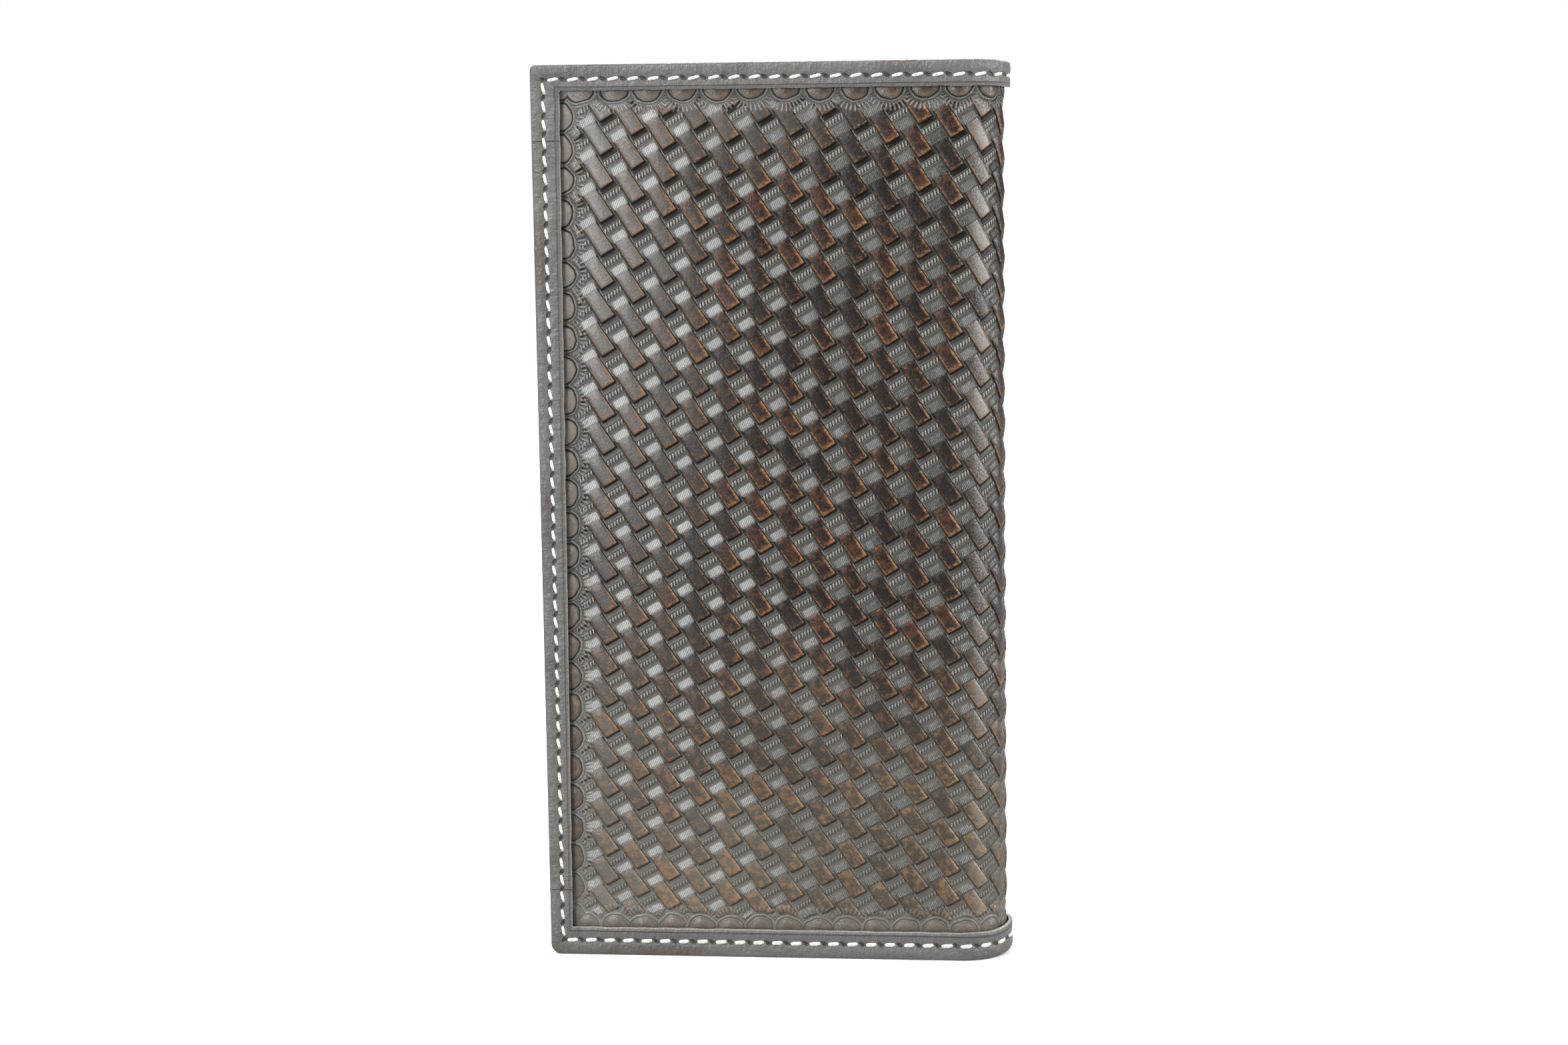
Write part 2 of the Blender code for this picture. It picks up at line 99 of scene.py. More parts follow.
@dataclass(frozen=True)
class FlatPattern:
    """Sizes of the wallet's flat pattern, and the fold round its spine."""

    height: float = 184.5
    width: float = 96.5
    fold_radius: float = 9.2
    leather_inset: float = 1.0
    binding_width: float = 5.2
    binding_thickness: float = 0.75
    top_pinch: float = 0.5
    bottom_pinch: float = 0.6
    pinch_sharpness: float = 6.0
    leaf_ramp: float = 9.0
    spine_leaf: float = 2.85
    edge_leaf: float = 4.1
    side_leaf: float = 6.4
    closed_gap: float = 0.8

    @property
    def centre_x(self) -> float:
        """Distance of the fold's axis from the middle of the wallet's width."""
        return self.width / 2 - self.fold_radius - self.leather_inset

    @property
    def taper(self) -> float:
        """Angle at which each closed cover leans towards the other."""
        room = self.fold_radius - self.side_leaf - self.closed_gap / 2
        return math.atan(room / (self.centre_x + self.width / 2))

    @property
    def half_fold(self) -> float:
        """Turn of the leather from the top of the spine to a cover."""
        return math.pi / 2 + self.taper

    @property
    def fold_length(self) -> float:
        """Length of the tooled face from the top of the spine to a cover."""
        return self.half_fold * self.fold_radius

    @property
    def open_edge(self) -> float:
        """The `along` of the open edge."""
        outer = self.fold_radius + self.leather_inset
        span = self.centre_x + self.width / 2
        cover = span - outer * math.sin(self.taper)
        return self.fold_length + cover / math.cos(self.taper)

    def pinch(self, turn: float, up: float) -> float:
        """How far the fold draws a point towards the middle of the height.

        Args:
            turn: Angle round the spine from its middle line, in radians.
            up: Height in the flat pattern.

        Returns:
            The change of height.
        """
        share = max(0.0, math.cos(turn)) ** self.pinch_sharpness
        height_share = up / self.height
        low = self.bottom_pinch * (1 - height_share)
        return share * (low - self.top_pinch * height_share)

    def folded(self, along: float, depth: float, up: float) -> Vector:
        """Where a point of the flat pattern lies on the closed wallet.

        Args:
            along: Distance from the spine's middle line, positive on the front.
            depth: Distance inwards from the tooled face.
            up: Height.

        Returns:
            The point in metres.
        """
        side = 1 if along >= 0 else -1
        turn = min(abs(along) / self.fold_radius, self.half_fold)
        straight = abs(along) - self.fold_radius * turn
        radius = self.fold_radius - depth
        x = self.centre_x + radius * math.cos(turn) - straight * math.sin(turn)
        y = radius * math.sin(turn) + straight * math.cos(turn)
        return Vector((x, -side * y, up + self.pinch(turn, up))) * MM

    def flat(self, side: float, along: float, depth: float, up: float) -> Vector:
        """Where a point of a leaf that stays flat lies on the closed wallet.

        Args:
            side: 1 on the front cover, -1 on the back cover.
            along: Distance from the spine's middle line.
            depth: Distance inwards from the tooled face.
            up: Height.

        Returns:
            The point in metres.
        """
        straight = along - self.fold_length
        radius = self.fold_radius - depth
        x = self.centre_x + radius * math.cos(self.half_fold) - straight * math.sin(self.half_fold)
        y = radius * math.sin(self.half_fold) + straight * math.cos(self.half_fold)
        return Vector((x, -side * y, up)) * MM

    def leaf_depth(self, along: float) -> float:
        """Depth of the binding's innermost face at the upper and lower edges.

        Args:
            along: Distance from the spine's middle line.

        Returns:
            The depth in millimetres.
        """
        joint = self.fold_length / 2
        share = min(abs(along) / joint, 1.0)
        depth = self.spine_leaf + (self.edge_leaf - self.spine_leaf) * share
        past = abs(along) - (self.open_edge - self.binding_width - self.leaf_ramp)
        ramp = min(max(past / self.leaf_ramp, 0.0), 1.0)
        return depth + (self.side_leaf - depth) * ramp


PATTERN = FlatPattern()


def smooth_step(value: float, low: float, high: float) -> float:
    """A smooth rise from 0 at `low` to 1 at `high`.

    Args:
        value: What is measured.
        low: Where the rise starts.
        high: Where it ends.

    Returns:
        The share between 0 and 1.
    """
    share = min(max((value - low) / (high - low), 0.0), 1.0)
    return share * share * (3 - 2 * share)


def band(value: float, low: float, high: float, soft: float) -> float:
    """A mask that is 1 between two limits, with soft edges inside them."""
    rise = smooth_step(value, low, low + soft)
    return rise * (1 - smooth_step(value, high - soft, high))


def wrapped(value: float, period: float) -> float:
    """`value` brought into plus or minus half of a period."""
    return (value + period / 2) % period - period / 2


# ---------------------------------------------------------------------------
# The stamped ornament
# ---------------------------------------------------------------------------


@dataclass(frozen=True)
class BasketStamp:
    """The basketweave stamp, in millimetres.

    Straps lie in columns. `across` runs over the columns, `down` along the straps,
    and neighbouring columns are shifted by one row. A point of the sheet is given by
    `right`, which is minus `along`, and `up`.
    """

    column: float = 3.8
    row: float = 5.73
    across_axis: tuple = (0.8546, 0.5193)
    down_axis: tuple = (0.5534, -0.8329)
    across_start: float = 2.19
    down_start: float = 4.35
    strap_half_width: float = 1.45
    strap_half_length: float = 3.05
    pad_length: float = 1.75
    recess_length: float = 1.3
    rope_length: float = 1.6
    floor_level: float = -0.62
    rope_rise: float = 0.26
    tighter_below: float = 108.0
    tighter_by: float = 0.085
    lines_across: tuple = (-1.9, -1.62, -1.42, -0.85, 0.0, 0.85, 1.42, 1.62)
    lines_down: tuple = (0.22, 0.55, 0.93, 1.5, 2.1, 2.62, 2.95, 3.2, 3.75, 4.35, 4.8, 5.3)

    def sheet_point(self, across: float, down: float) -> tuple:
        """The (right, up) of a point of the stamp's grid."""
        right = across * self.across_axis[0] + down * self.down_axis[0]
        up = across * self.across_axis[1] + down * self.down_axis[1]
        return right, up

    def grid_point(self, right: float, up: float) -> tuple:
        """The (across, down) of a point of the sheet."""
        a, b = self.across_axis, self.down_axis
        area = a[0] * b[1] - b[0] * a[1]
        return (right * b[1] - up * b[0]) / area, (up * a[0] - right * a[1]) / area

    def cut_lines(self, offsets: Sequence, period: float, start: float, low: float,
                  high: float) -> list:
        """Grid lines at a repeated set of offsets.

        Args:
            offsets: Where the lines lie in one period.
            period: Length of the period.
            start: Where a period starts.
            low: The least value wanted.
            high: The greatest value wanted.

        Returns:
            The values, in order.
        """
        first = math.floor((low - start) / period) - 1
        last = math.ceil((high - start) / period) + 1
        lines = [start + k * period + o for k in range(first, last) for o in offsets]
        return sorted(line for line in lines if low <= line <= high)

    def strap_place(self, across: float, down: float, odd: bool) -> tuple:
        """Place of a point relative to the nearest strap of every second column.

        Args:
            across: Place over the columns.
            down: Place along the straps.
            odd: Which of the two sets of columns is meant.

        Returns:
            The distances (over, along) from the middle of that strap.
        """
        shift = self.column if odd else 0.0
        row_shift = 0.0 if odd else self.row
        over = wrapped(across - self.across_start - shift, 2 * self.column)
        along = wrapped(down - self.down_start - row_shift, 2 * self.row)
        return over, along

    def relief_at_strap(self, over: float, along: float) -> tuple:
        """Height of the stamped leather near one strap.

        Args:
            over: Distance from the strap's middle line.
            along: Distance from its middle, positive towards its lower end.

        Returns:
            (strap mask, strap height, under mask, height of what passes under).
        """
        half, long = self.strap_half_width, self.strap_half_length
        side = 1 - smooth_step(abs(over), half - 0.05, half + 0.2)
        strap = side * band(along, -long - 0.1, long + 0.22, 0.25)
        crown = 0.15 * (over / half) ** 4 + 0.04 * (along / long) ** 2
        dip = 0.18 * smooth_step(-along, 1.7, 3.1)
        strap_height = -0.02 - crown - dip
        pad_top = -long - self.pad_length
        pad_side = 1 - smooth_step(abs(over), half + 0.1, half + 0.4)
        pad = pad_side * band(along, pad_top, -long + 0.12, 0.18)
        slope = (along - pad_top) / self.pad_length
        pad_height = -0.56 + 0.30 * min(max(slope, 0.0), 1.0)
        rope_start = long + self.recess_length
        past = along - rope_start if along > 0 else along + 2 * self.row - rope_start
        rope_side = 1 - smooth_step(abs(over), 2.0, 2.35)
        rope = rope_side * band(past, 0.0, self.rope_length, 0.3)
        return strap, strap_height, pad, pad_height, rope

    def weave_height(self, across: float, down: float) -> float:
        """Height of the basketweave's relief at a point, at or below 0."""
        height = self.floor_level
        for odd in (True, False):
            over, along = self.strap_place(across, down, odd)
            _, _, pad, pad_height, rope = self.relief_at_strap(over, along)
            height = max(height, self.floor_level + rope * self.rope_rise)
            height += (pad_height - height) * pad
        for odd in (True, False):
            over, along = self.strap_place(across, down, odd)
            strap, strap_height, _, _, _ = self.relief_at_strap(over, along)
            height += (strap_height - height) * strap
        return height

    def settled(self, up: float) -> float:
        """Height that a grid point moves to, as the rows get tighter low down."""
        low = max(self.tighter_below - up, 0.0)
        return up + self.tighter_by * low * low / (2 * self.tighter_below)


STAMP = BasketStamp()


@dataclass(frozen=True)
class BorderStamp:
    """The row of half-round stamps along the binding's cut edge, in millimetres."""

    half_width: float = 2.65
    depth: float = 2.3
    side_spacing: tuple = (6.39, 1.47)
    top_spacing: tuple = (6.97, -0.2)
    bottom_spacing: tuple = (6.1, -1.8)
    top_inset: float = 5.2
    bottom_inset: float = 5.9
    side_low_inset: float = 4.6
    side_high_inset: float = 6.0

    def side_inset(self, up: Value) -> Value:
        """Distance of the cut edge from the open edge at a height."""
        rise = (self.side_high_inset - self.side_low_inset) / PATTERN.height
        return self.side_low_inset + rise * up

    def place(self, right: float, up: float) -> tuple:
        """Place of a point relative to the nearest stamp.

        Args:
            right: Place on the sheet, minus `along`.
            up: Height.

        Returns:
            (distance along the edge from the stamp's middle, distance from the
            binding) both over the stamp's size, so that 1 is its rim.
        """
        side = PATTERN.open_edge - self.side_inset(up) - abs(right)
        top = PATTERN.height - self.top_inset - up
        bottom = up - self.bottom_inset
        best = (9.0, 9.0)
        for inwards, run, spacing in ((side, up, self.side_spacing), (top, right, self.top_spacing),
                                      (bottom, right, self.bottom_spacing)):
            sideways = wrapped(run - spacing[1], spacing[0]) / self.half_width
            inward = inwards / self.depth
            if math.hypot(sideways, inward) < math.hypot(*best):
                best = (sideways, inward)
        return best

    def height(self, weave: float, right: float, up: float) -> float:
        """Height of the stamped face, with the border pressed into the weave.

        Args:
            weave: Height of the basketweave at the point.
            right: Place on the sheet.
            up: Height on the sheet.

        Returns:
            The height over the face's highest level, at or below 0.
        """
        sideways, inward = self.place(right, up)
        reach = math.hypot(sideways, inward)
        if inward < -0.3:
            return -0.15
        dome = -0.08 - 0.20 * reach ** 4
        scallop = dome + (-0.40 - dome) * smooth_step(reach, 0.95, 1.15)
        share = 1 - smooth_step(reach, 1.3, 1.9)
        return weave + (scallop - weave) * share


BORDER = BorderStamp()


@dataclass(frozen=True)
class PocketRule:
    """Where the pockets and the card window lie inside a cover, in millimetres."""

    spine_end: float = 10.98
    panel_end: float = 12.2
    panel_face: float = 3.1
    stack_tops: tuple = (178.5, 91.0)
    stack_height: float = 85.0
    step: float = 14.5
    faces: tuple = (3.9, 4.65, 5.4)
    notch_width: float = 20.0
    notch_drop: float = 2.6
    window_face: float = 4.5
    window_sides: tuple = (20.98, 89.76)
    window_heights: tuple = (14.0, 78.0)
    seam_inset: float = 2.2

    @property
    def far_end(self) -> float:
        """The `along` of a pocket's end in the binding."""
        return PATTERN.open_edge - PATTERN.leather_inset

    def mouths(self) -> list:
        """Heights of all pocket mouths, from the top down."""
        return [top - self.step * i for top in self.stack_tops for i in range(3)]

    def face_at(self, top: float, up: float) -> float:
        """Depth of the leather that shows at a height of a stack.

        Args:
            top: Height of the stack's highest mouth.
            up: Height.

        Returns:
            The depth of its face.
        """
        index = min(max(int((top - up) // self.step), 0), 2)
        return self.faces[index]

    def face_x(self, along: float, depth: float) -> float:
        """Place in x, in millimetres, of a point of a flat leaf."""
        return PATTERN.flat(1, along, depth, 0.0).x / MM


POCKETS = PocketRule()


# ---------------------------------------------------------------------------
# Laying out shader nodes
# ---------------------------------------------------------------------------


class NodeBench:
    """Adds and wires nodes in one shader tree."""

    def __init__(self, tree: bpy.types.NodeTree) -> None:
        """Work on a tree.

        Args:
            tree: A material's node tree or a node group.
        """
        self.tree = tree
        self.count = 0

    def wire(self, value: Value, socket: Socket) -> None:
        """Put a socket's output, a number or a tuple into an input."""
        if isinstance(value, bpy.types.NodeSocket):
            self.tree.links.new(value, socket)
        elif value is not None:
            socket.default_value = value

    def node(self, kind: str, **settings: Value) -> bpy.types.Node:
        """A new node with its settings."""
        made = self.tree.nodes.new(kind)
        made.location = (220 * (self.count % 12), -190 * (self.count // 12))
        self.count += 1
        for name, setting in settings.items():
            setattr(made, name, setting)
        return made

    def math(self, operation: str, a: Value, b: Value = None, clamp: bool = False) -> Socket:
        """The result of one Math node."""
        made = self.node("ShaderNodeMath", operation=operation, use_clamp=clamp)
        self.wire(a, made.inputs[0])
        self.wire(b, made.inputs[1])
        return made.outputs[0]

    def times(self, first: Value, *others: Value) -> Socket:
        """Product of values.

        Args:
            first: The first value.
            others: The values that it is multiplied by, in turn.

        Returns:
            The product.
        """
        for other in others:
            first = self.math("MULTIPLY", first, other)
        return first

    def plus(self, a: Value, b: Value, clamp: bool = False) -> Socket:
        """Sum of two values."""
        return self.math("ADD", a, b, clamp)

    def minus(self, a: Value, b: Value) -> Socket:
        """Difference of two values."""
        return self.math("SUBTRACT", a, b)

    def flip(self, mask: Value) -> Socket:
        """1 less a mask."""
        return self.math("SUBTRACT", 1.0, mask)

    def most(self, a: Value, b: Value) -> Socket:
        """The greater of two values."""
        return self.math("MAXIMUM", a, b)

    def least(self, a: Value, b: Value) -> Socket:
        """The smaller of two values."""
        return self.math("MINIMUM", a, b)

    def size(self, value: Value) -> Socket:
        """A value without its sign."""
        return self.math("ABSOLUTE", value)

    def vector(self, operation: str, a: Value, b: Value = None) -> Socket:
        """The vector result of one Vector Math node."""
        made = self.node("ShaderNodeVectorMath", operation=operation)
        self.wire(a, made.inputs[0])
        self.wire(b, made.inputs[1])
        return made.outputs[0]

    def split(self, vector: Socket) -> list:
        """The x, y and z of a vector."""
        made = self.node("ShaderNodeSeparateXYZ")
        self.wire(vector, made.inputs[0])
        return list(made.outputs)

    def join(self, x: Value, y: Value, z: Value = 0.0) -> Socket:
        """A vector from its parts."""
        made = self.node("ShaderNodeCombineXYZ")
        for value, socket in zip((x, y, z), made.inputs):
            self.wire(value, socket)
        return made.outputs[0]

    def step(self, value: Value, low: float, high: float) -> Socket:
        """A smooth rise from 0 at `low` to 1 at `high`."""
        made = self.node("ShaderNodeMapRange", interpolation_type="SMOOTHSTEP")
        self.wire(value, made.inputs["Value"])
        self.wire(low, made.inputs["From Min"])
        self.wire(high, made.inputs["From Max"])
        return made.outputs["Result"]

    def span(self, value: Value, low: float, high: float, out_low: float,
             out_high: float) -> Socket:
        """A linear change of range, held at its ends."""
        made = self.node("ShaderNodeMapRange")
        for number, name in ((low, "From Min"), (high, "From Max"),
                             (out_low, "To Min"), (out_high, "To Max")):
            made.inputs[name].default_value = number
        self.wire(value, made.inputs["Value"])
        return made.outputs["Result"]

    def band(self, value: Value, low: float, high: float, soft: float) -> Socket:
        """A mask that is 1 between two limits, with soft edges inside them."""
        rise = self.step(value, low, low + soft)
        fall = self.step(value, high - soft, high)
        return self.math("MULTIPLY", rise, self.math("SUBTRACT", 1.0, fall))

    def line(self, value: Value, place: float, half: float, soft: float) -> Socket:
        """A mask of a thin line at one value."""
        away = self.math("ABSOLUTE", self.math("SUBTRACT", value, place))
        return self.math("SUBTRACT", 1.0, self.step(away, half, half + soft))

    def wrapped(self, value: Value, period: float) -> Socket:
        """`value` brought into plus or minus half of a period."""
        share = self.math("DIVIDE", value, period)
        nearest = self.math("ROUND", share)
        return self.math("MULTIPLY", self.math("SUBTRACT", share, nearest), period)

    def mix(self, share: Value, a: Value, b: Value, blend: str = "MIX") -> Socket:
        """A mix of two colours."""
        made = self.node("ShaderNodeMix", data_type="RGBA", blend_type=blend)
        self.wire(share, made.inputs[0])
        self.wire(a, made.inputs[6])
        self.wire(b, made.inputs[7])
        return made.outputs[2]

    def blend(self, share: Value, a: Value, b: Value) -> Socket:
        """A mix of two numbers."""
        made = self.node("ShaderNodeMix", data_type="FLOAT")
        self.wire(share, made.inputs[0])
        self.wire(a, made.inputs[2])
        self.wire(b, made.inputs[3])
        return made.outputs[0]

    def noise(self, vector: Socket, scale: float, detail: float = 2.0,
              rough: float = 0.5, distortion: float = 0.0) -> Socket:
        """The value of a noise texture."""
        made = self.node("ShaderNodeTexNoise")
        self.wire(vector, made.inputs["Vector"])
        for name, number in (("Scale", scale), ("Detail", detail),
                             ("Roughness", rough), ("Distortion", distortion)):
            made.inputs[name].default_value = number
        return made.outputs[0]

    def cells(self, vector: Socket, scale: float, feature: str = "F1",
              randomness: float = 1.0) -> Socket:
        """The distance of a cell texture."""
        made = self.node("ShaderNodeTexVoronoi", feature=feature)
        self.wire(vector, made.inputs["Vector"])
        made.inputs["Scale"].default_value = scale
        made.inputs["Randomness"].default_value = randomness
        return made.outputs["Distance"]

    def bump(self, height: Socket, distance: float, strength: float = 1.0,
             normal: Optional[Socket] = None) -> Socket:
        """The normal of a height in millimetres."""
        made = self.node("ShaderNodeBump")
        made.inputs["Strength"].default_value = strength
        made.inputs["Distance"].default_value = distance
        self.wire(height, made.inputs["Height"])
        if normal is not None:
            self.wire(normal, made.inputs["Normal"])
        return made.outputs[0]

    def use(self, group: bpy.types.NodeTree, **values: Value) -> bpy.types.Node:
        """A node of a group, with its inputs wired by name."""
        made = self.node("ShaderNodeGroup", node_tree=group)
        for name, value in values.items():
            self.wire(value, made.inputs[name])
        return made


def new_group(name: str, inputs: Sequence, outputs: Sequence) -> tuple:
    """An empty node group with its sockets.

    Args:
        name: Name of the group.
        inputs: (name, socket kind) of each input.
        outputs: (name, socket kind) of each output.

    Returns:
        (the group, its bench, its input node, its output node).
    """
    group = bpy.data.node_groups.new(name, "ShaderNodeTree")
    for in_out, sockets in (("INPUT", inputs), ("OUTPUT", outputs)):
        for socket_name, kind in sockets:
            group.interface.new_socket(socket_name, in_out=in_out, socket_type=kind)
    bench = NodeBench(group)
    return group, bench, bench.node("NodeGroupInput"), bench.node("NodeGroupOutput")


FLOAT = "NodeSocketFloat"
VECTOR = "NodeSocketVector"


class LeatherGrain:
    """The shared group for leather: pores, creases and a slow change of tone."""

    _made: Optional[bpy.types.NodeTree] = None

    @classmethod
    def group(cls) -> bpy.types.NodeTree:
        """The group, built once.

        Returns:
            The node tree: a place in millimetres and a size in, height, tone and pores out.
        """
        if cls._made is None:
            outputs = [("Height", FLOAT), ("Tone", FLOAT), ("Pores", FLOAT)]
            inputs = [("Place", VECTOR), ("Size", FLOAT)]
            group, bench, into, out = new_group("leather grain", inputs, outputs)
            place = bench.vector("SCALE", into.outputs["Place"])
            scale_node = place.node
            bench.wire(into.outputs["Size"], scale_node.inputs["Scale"])
            drift = bench.join(bench.noise(place, 0.9, 2.0), bench.noise(place, 1.1, 2.0, 0.6))
            bent = bench.vector("ADD", place, drift)
            away = bench.cells(bent, 1.0)
            domes = bench.flip(bench.times(away, away))
            pores = bench.flip(bench.step(away, 0.42, 0.80))
            fine = bench.noise(place, 1.7, 3.0, 0.55)
            folds = bench.size(bench.minus(bench.noise(place, 0.36, 3.0, 0.6), 0.5))
            creases = bench.step(folds, 0.0, 0.05)
            height = bench.times(domes, 0.6)
            height = bench.plus(height, bench.times(fine, 0.55))
            height = bench.plus(height, bench.times(creases, 0.45))
            bench.wire(height, out.inputs["Height"])
            bench.wire(bench.noise(place, 0.12, 3.0, 0.6), out.inputs["Tone"])
            bench.wire(pores, out.inputs["Pores"])
            cls._made = group
        return cls._made


class StampShapes:
    """The shared group that finds the stamped shapes near one set of columns."""

    _made: Optional[bpy.types.NodeTree] = None

    @classmethod
    def group(cls) -> bpy.types.NodeTree:
        """The group, built once.

        Returns:
            The node tree: place over and along a strap in, masks out.
        """
        if cls._made is None:
            cls._made = cls._build()
        return cls._made

    @staticmethod
    def _build() -> bpy.types.NodeTree:
        """Lay out the masks of strap, pad, rope row, crevices and worn edges.

        Returns:
            The node tree.
        """
        names = ("Strap", "Pad", "Rope", "Recess", "Wear", "Lines", "RopeZone", "Crevice", "Bead",
                 "Pillow")
        inputs = [("Over", FLOAT), ("Along", FLOAT)]
        group, bench, into, out = new_group("stamp shapes", inputs, [(n, FLOAT) for n in names])
        over, along = into.outputs["Over"], into.outputs["Along"]
        away = bench.size(over)
        half, long = STAMP.strap_half_width, STAMP.strap_half_length
        side = bench.flip(bench.step(away, half - 0.02, half + 0.14))
        ends = bench.band(along, -long - 0.05, long + 0.14, 0.15)
        strap = bench.times(side, ends)
        pad_top = -long - STAMP.pad_length
        pad_middle = bench.size(bench.minus(along, (pad_top - long + 0.1) / 2))
        past_side = bench.most(bench.minus(away, half - 0.45), 0.0)
        past_end = bench.most(bench.minus(pad_middle, STAMP.pad_length / 2 - 0.5), 0.0)
        outwards = bench.node("ShaderNodeVectorMath", operation="LENGTH")
        bench.wire(bench.join(past_side, past_end), outwards.inputs[0])
        pad = bench.flip(bench.step(outwards.outputs["Value"], 0.52, 0.66))
        pillow = bench.flip(bench.step(outwards.outputs["Value"], 0.0, 0.62))
        start = long + STAMP.recess_length
        turn = bench.times(bench.math("LESS_THAN", along, 0.0), 2 * STAMP.row)
        past = bench.minus(bench.plus(along, turn), start)
        rope_side = bench.flip(bench.step(away, 1.95, 2.2))
        rope_zone = bench.times(rope_side, bench.band(past, 0.0, STAMP.rope_length, 0.1))
        # rope rungs: raised, and their colour gets a painted highlight
        rungs = bench.plus(over, bench.times(past, 0.45))
        rungs = bench.size(bench.wrapped(rungs, 0.70))
        rungs = bench.flip(bench.step(rungs, 0.09, 0.29))
        rungs = bench.times(rungs, bench.band(past, 0.24, 1.38, 0.18))
        rails = bench.most(bench.line(past, 0.10, 0.02, 0.08), bench.line(past, 1.48, 0.02, 0.08))
        rails = bench.times(rails, 0.5)
        rope = bench.times(rope_side, bench.most(rungs, rails))
        # recess below each strap's lower end: its colour gets painted shade
        recess = bench.times(bench.flip(bench.step(away, 1.75, 2.0)),
                            bench.band(along, long + 0.1, start + 0.1, 0.12))
        leaning = bench.plus(over, bench.times(along, 0.25))
        teeth = bench.size(bench.wrapped(leaning, 0.38))
        teeth = bench.flip(bench.step(teeth, 0.04, 0.17))
        lines = bench.times(teeth, pad)
        right_edge = bench.times(bench.step(over, half - 0.75, half), bench.step(along, -2.6, 0.4))
        left = bench.times(over, -1.0)
        left_edge = bench.times(bench.step(left, half - 0.5, half - 0.05), bench.step(along, -2.9, -0.6))
        lower = bench.times(bench.step(along, 1.7, long), 0.85)
        upper = bench.times(bench.step(bench.times(along, -1.0), 2.2, long), 0.55)
        wear = bench.most(bench.most(right_edge, left_edge),
                          bench.most(lower, upper))
        wear = bench.times(wear, strap)
        # crevice beside each strap: its colour gets painted shade
        near = bench.flip(bench.step(away, half + 0.1, half + 0.55))
        crevice = bench.times(near, bench.band(along, -long - 0.25, long + 0.75, 0.3))
        crevice = bench.times(crevice, bench.flip(strap))
        # bead beside each strap's right edge: raised, and its colour gets a painted highlight
        bead = bench.times(bench.line(over, half + 0.3, 0.03, 0.1), bench.band(along, -2.7, 2.3, 0.5))
        found = (strap, pad, rope, recess, wear, lines, rope_zone, crevice, bead, pillow)
        for name, value in zip(names, found):
            bench.wire(value, out.inputs[name])
        return group


# ---------------------------------------------------------------------------
# Finishes
# ---------------------------------------------------------------------------


@dataclass(frozen=True)
class Finish:
    """A finish with one material, built the first time that it is asked for."""

    name: str

    def material(self) -> bpy.types.Material:
        """The material of this finish."""
        made = bpy.data.materials.get(self.name)
        if made is None:
            made = bpy.data.materials.new(self.name)
            made.use_nodes = True
            bench = NodeBench(made.node_tree)
            self.lay_out(bench, made.node_tree.nodes["Principled BSDF"])
        return made

    def lay_out(self, bench: NodeBench, shader: bpy.types.Node) -> None:
        """Lay out this finish's nodes.

        Args:
            bench: Bench of the material's tree.
            shader: The material's Principled node.
        """
        raise NotImplementedError

    @staticmethod
    def uv(bench: NodeBench, layer: str) -> Socket:
        """A UV map's output, which holds millimetres."""
        return bench.node("ShaderNodeUVMap", uv_map=layer).outputs[0]

    @staticmethod
    def object_place(bench: NodeBench) -> Socket:
        """Object coordinates in millimetres."""
        place = bench.node("ShaderNodeTexCoord").outputs["Object"]
        scaled = bench.vector("SCALE", place)
        scaled.node.inputs["Scale"].default_value = 1 / MM
        return scaled


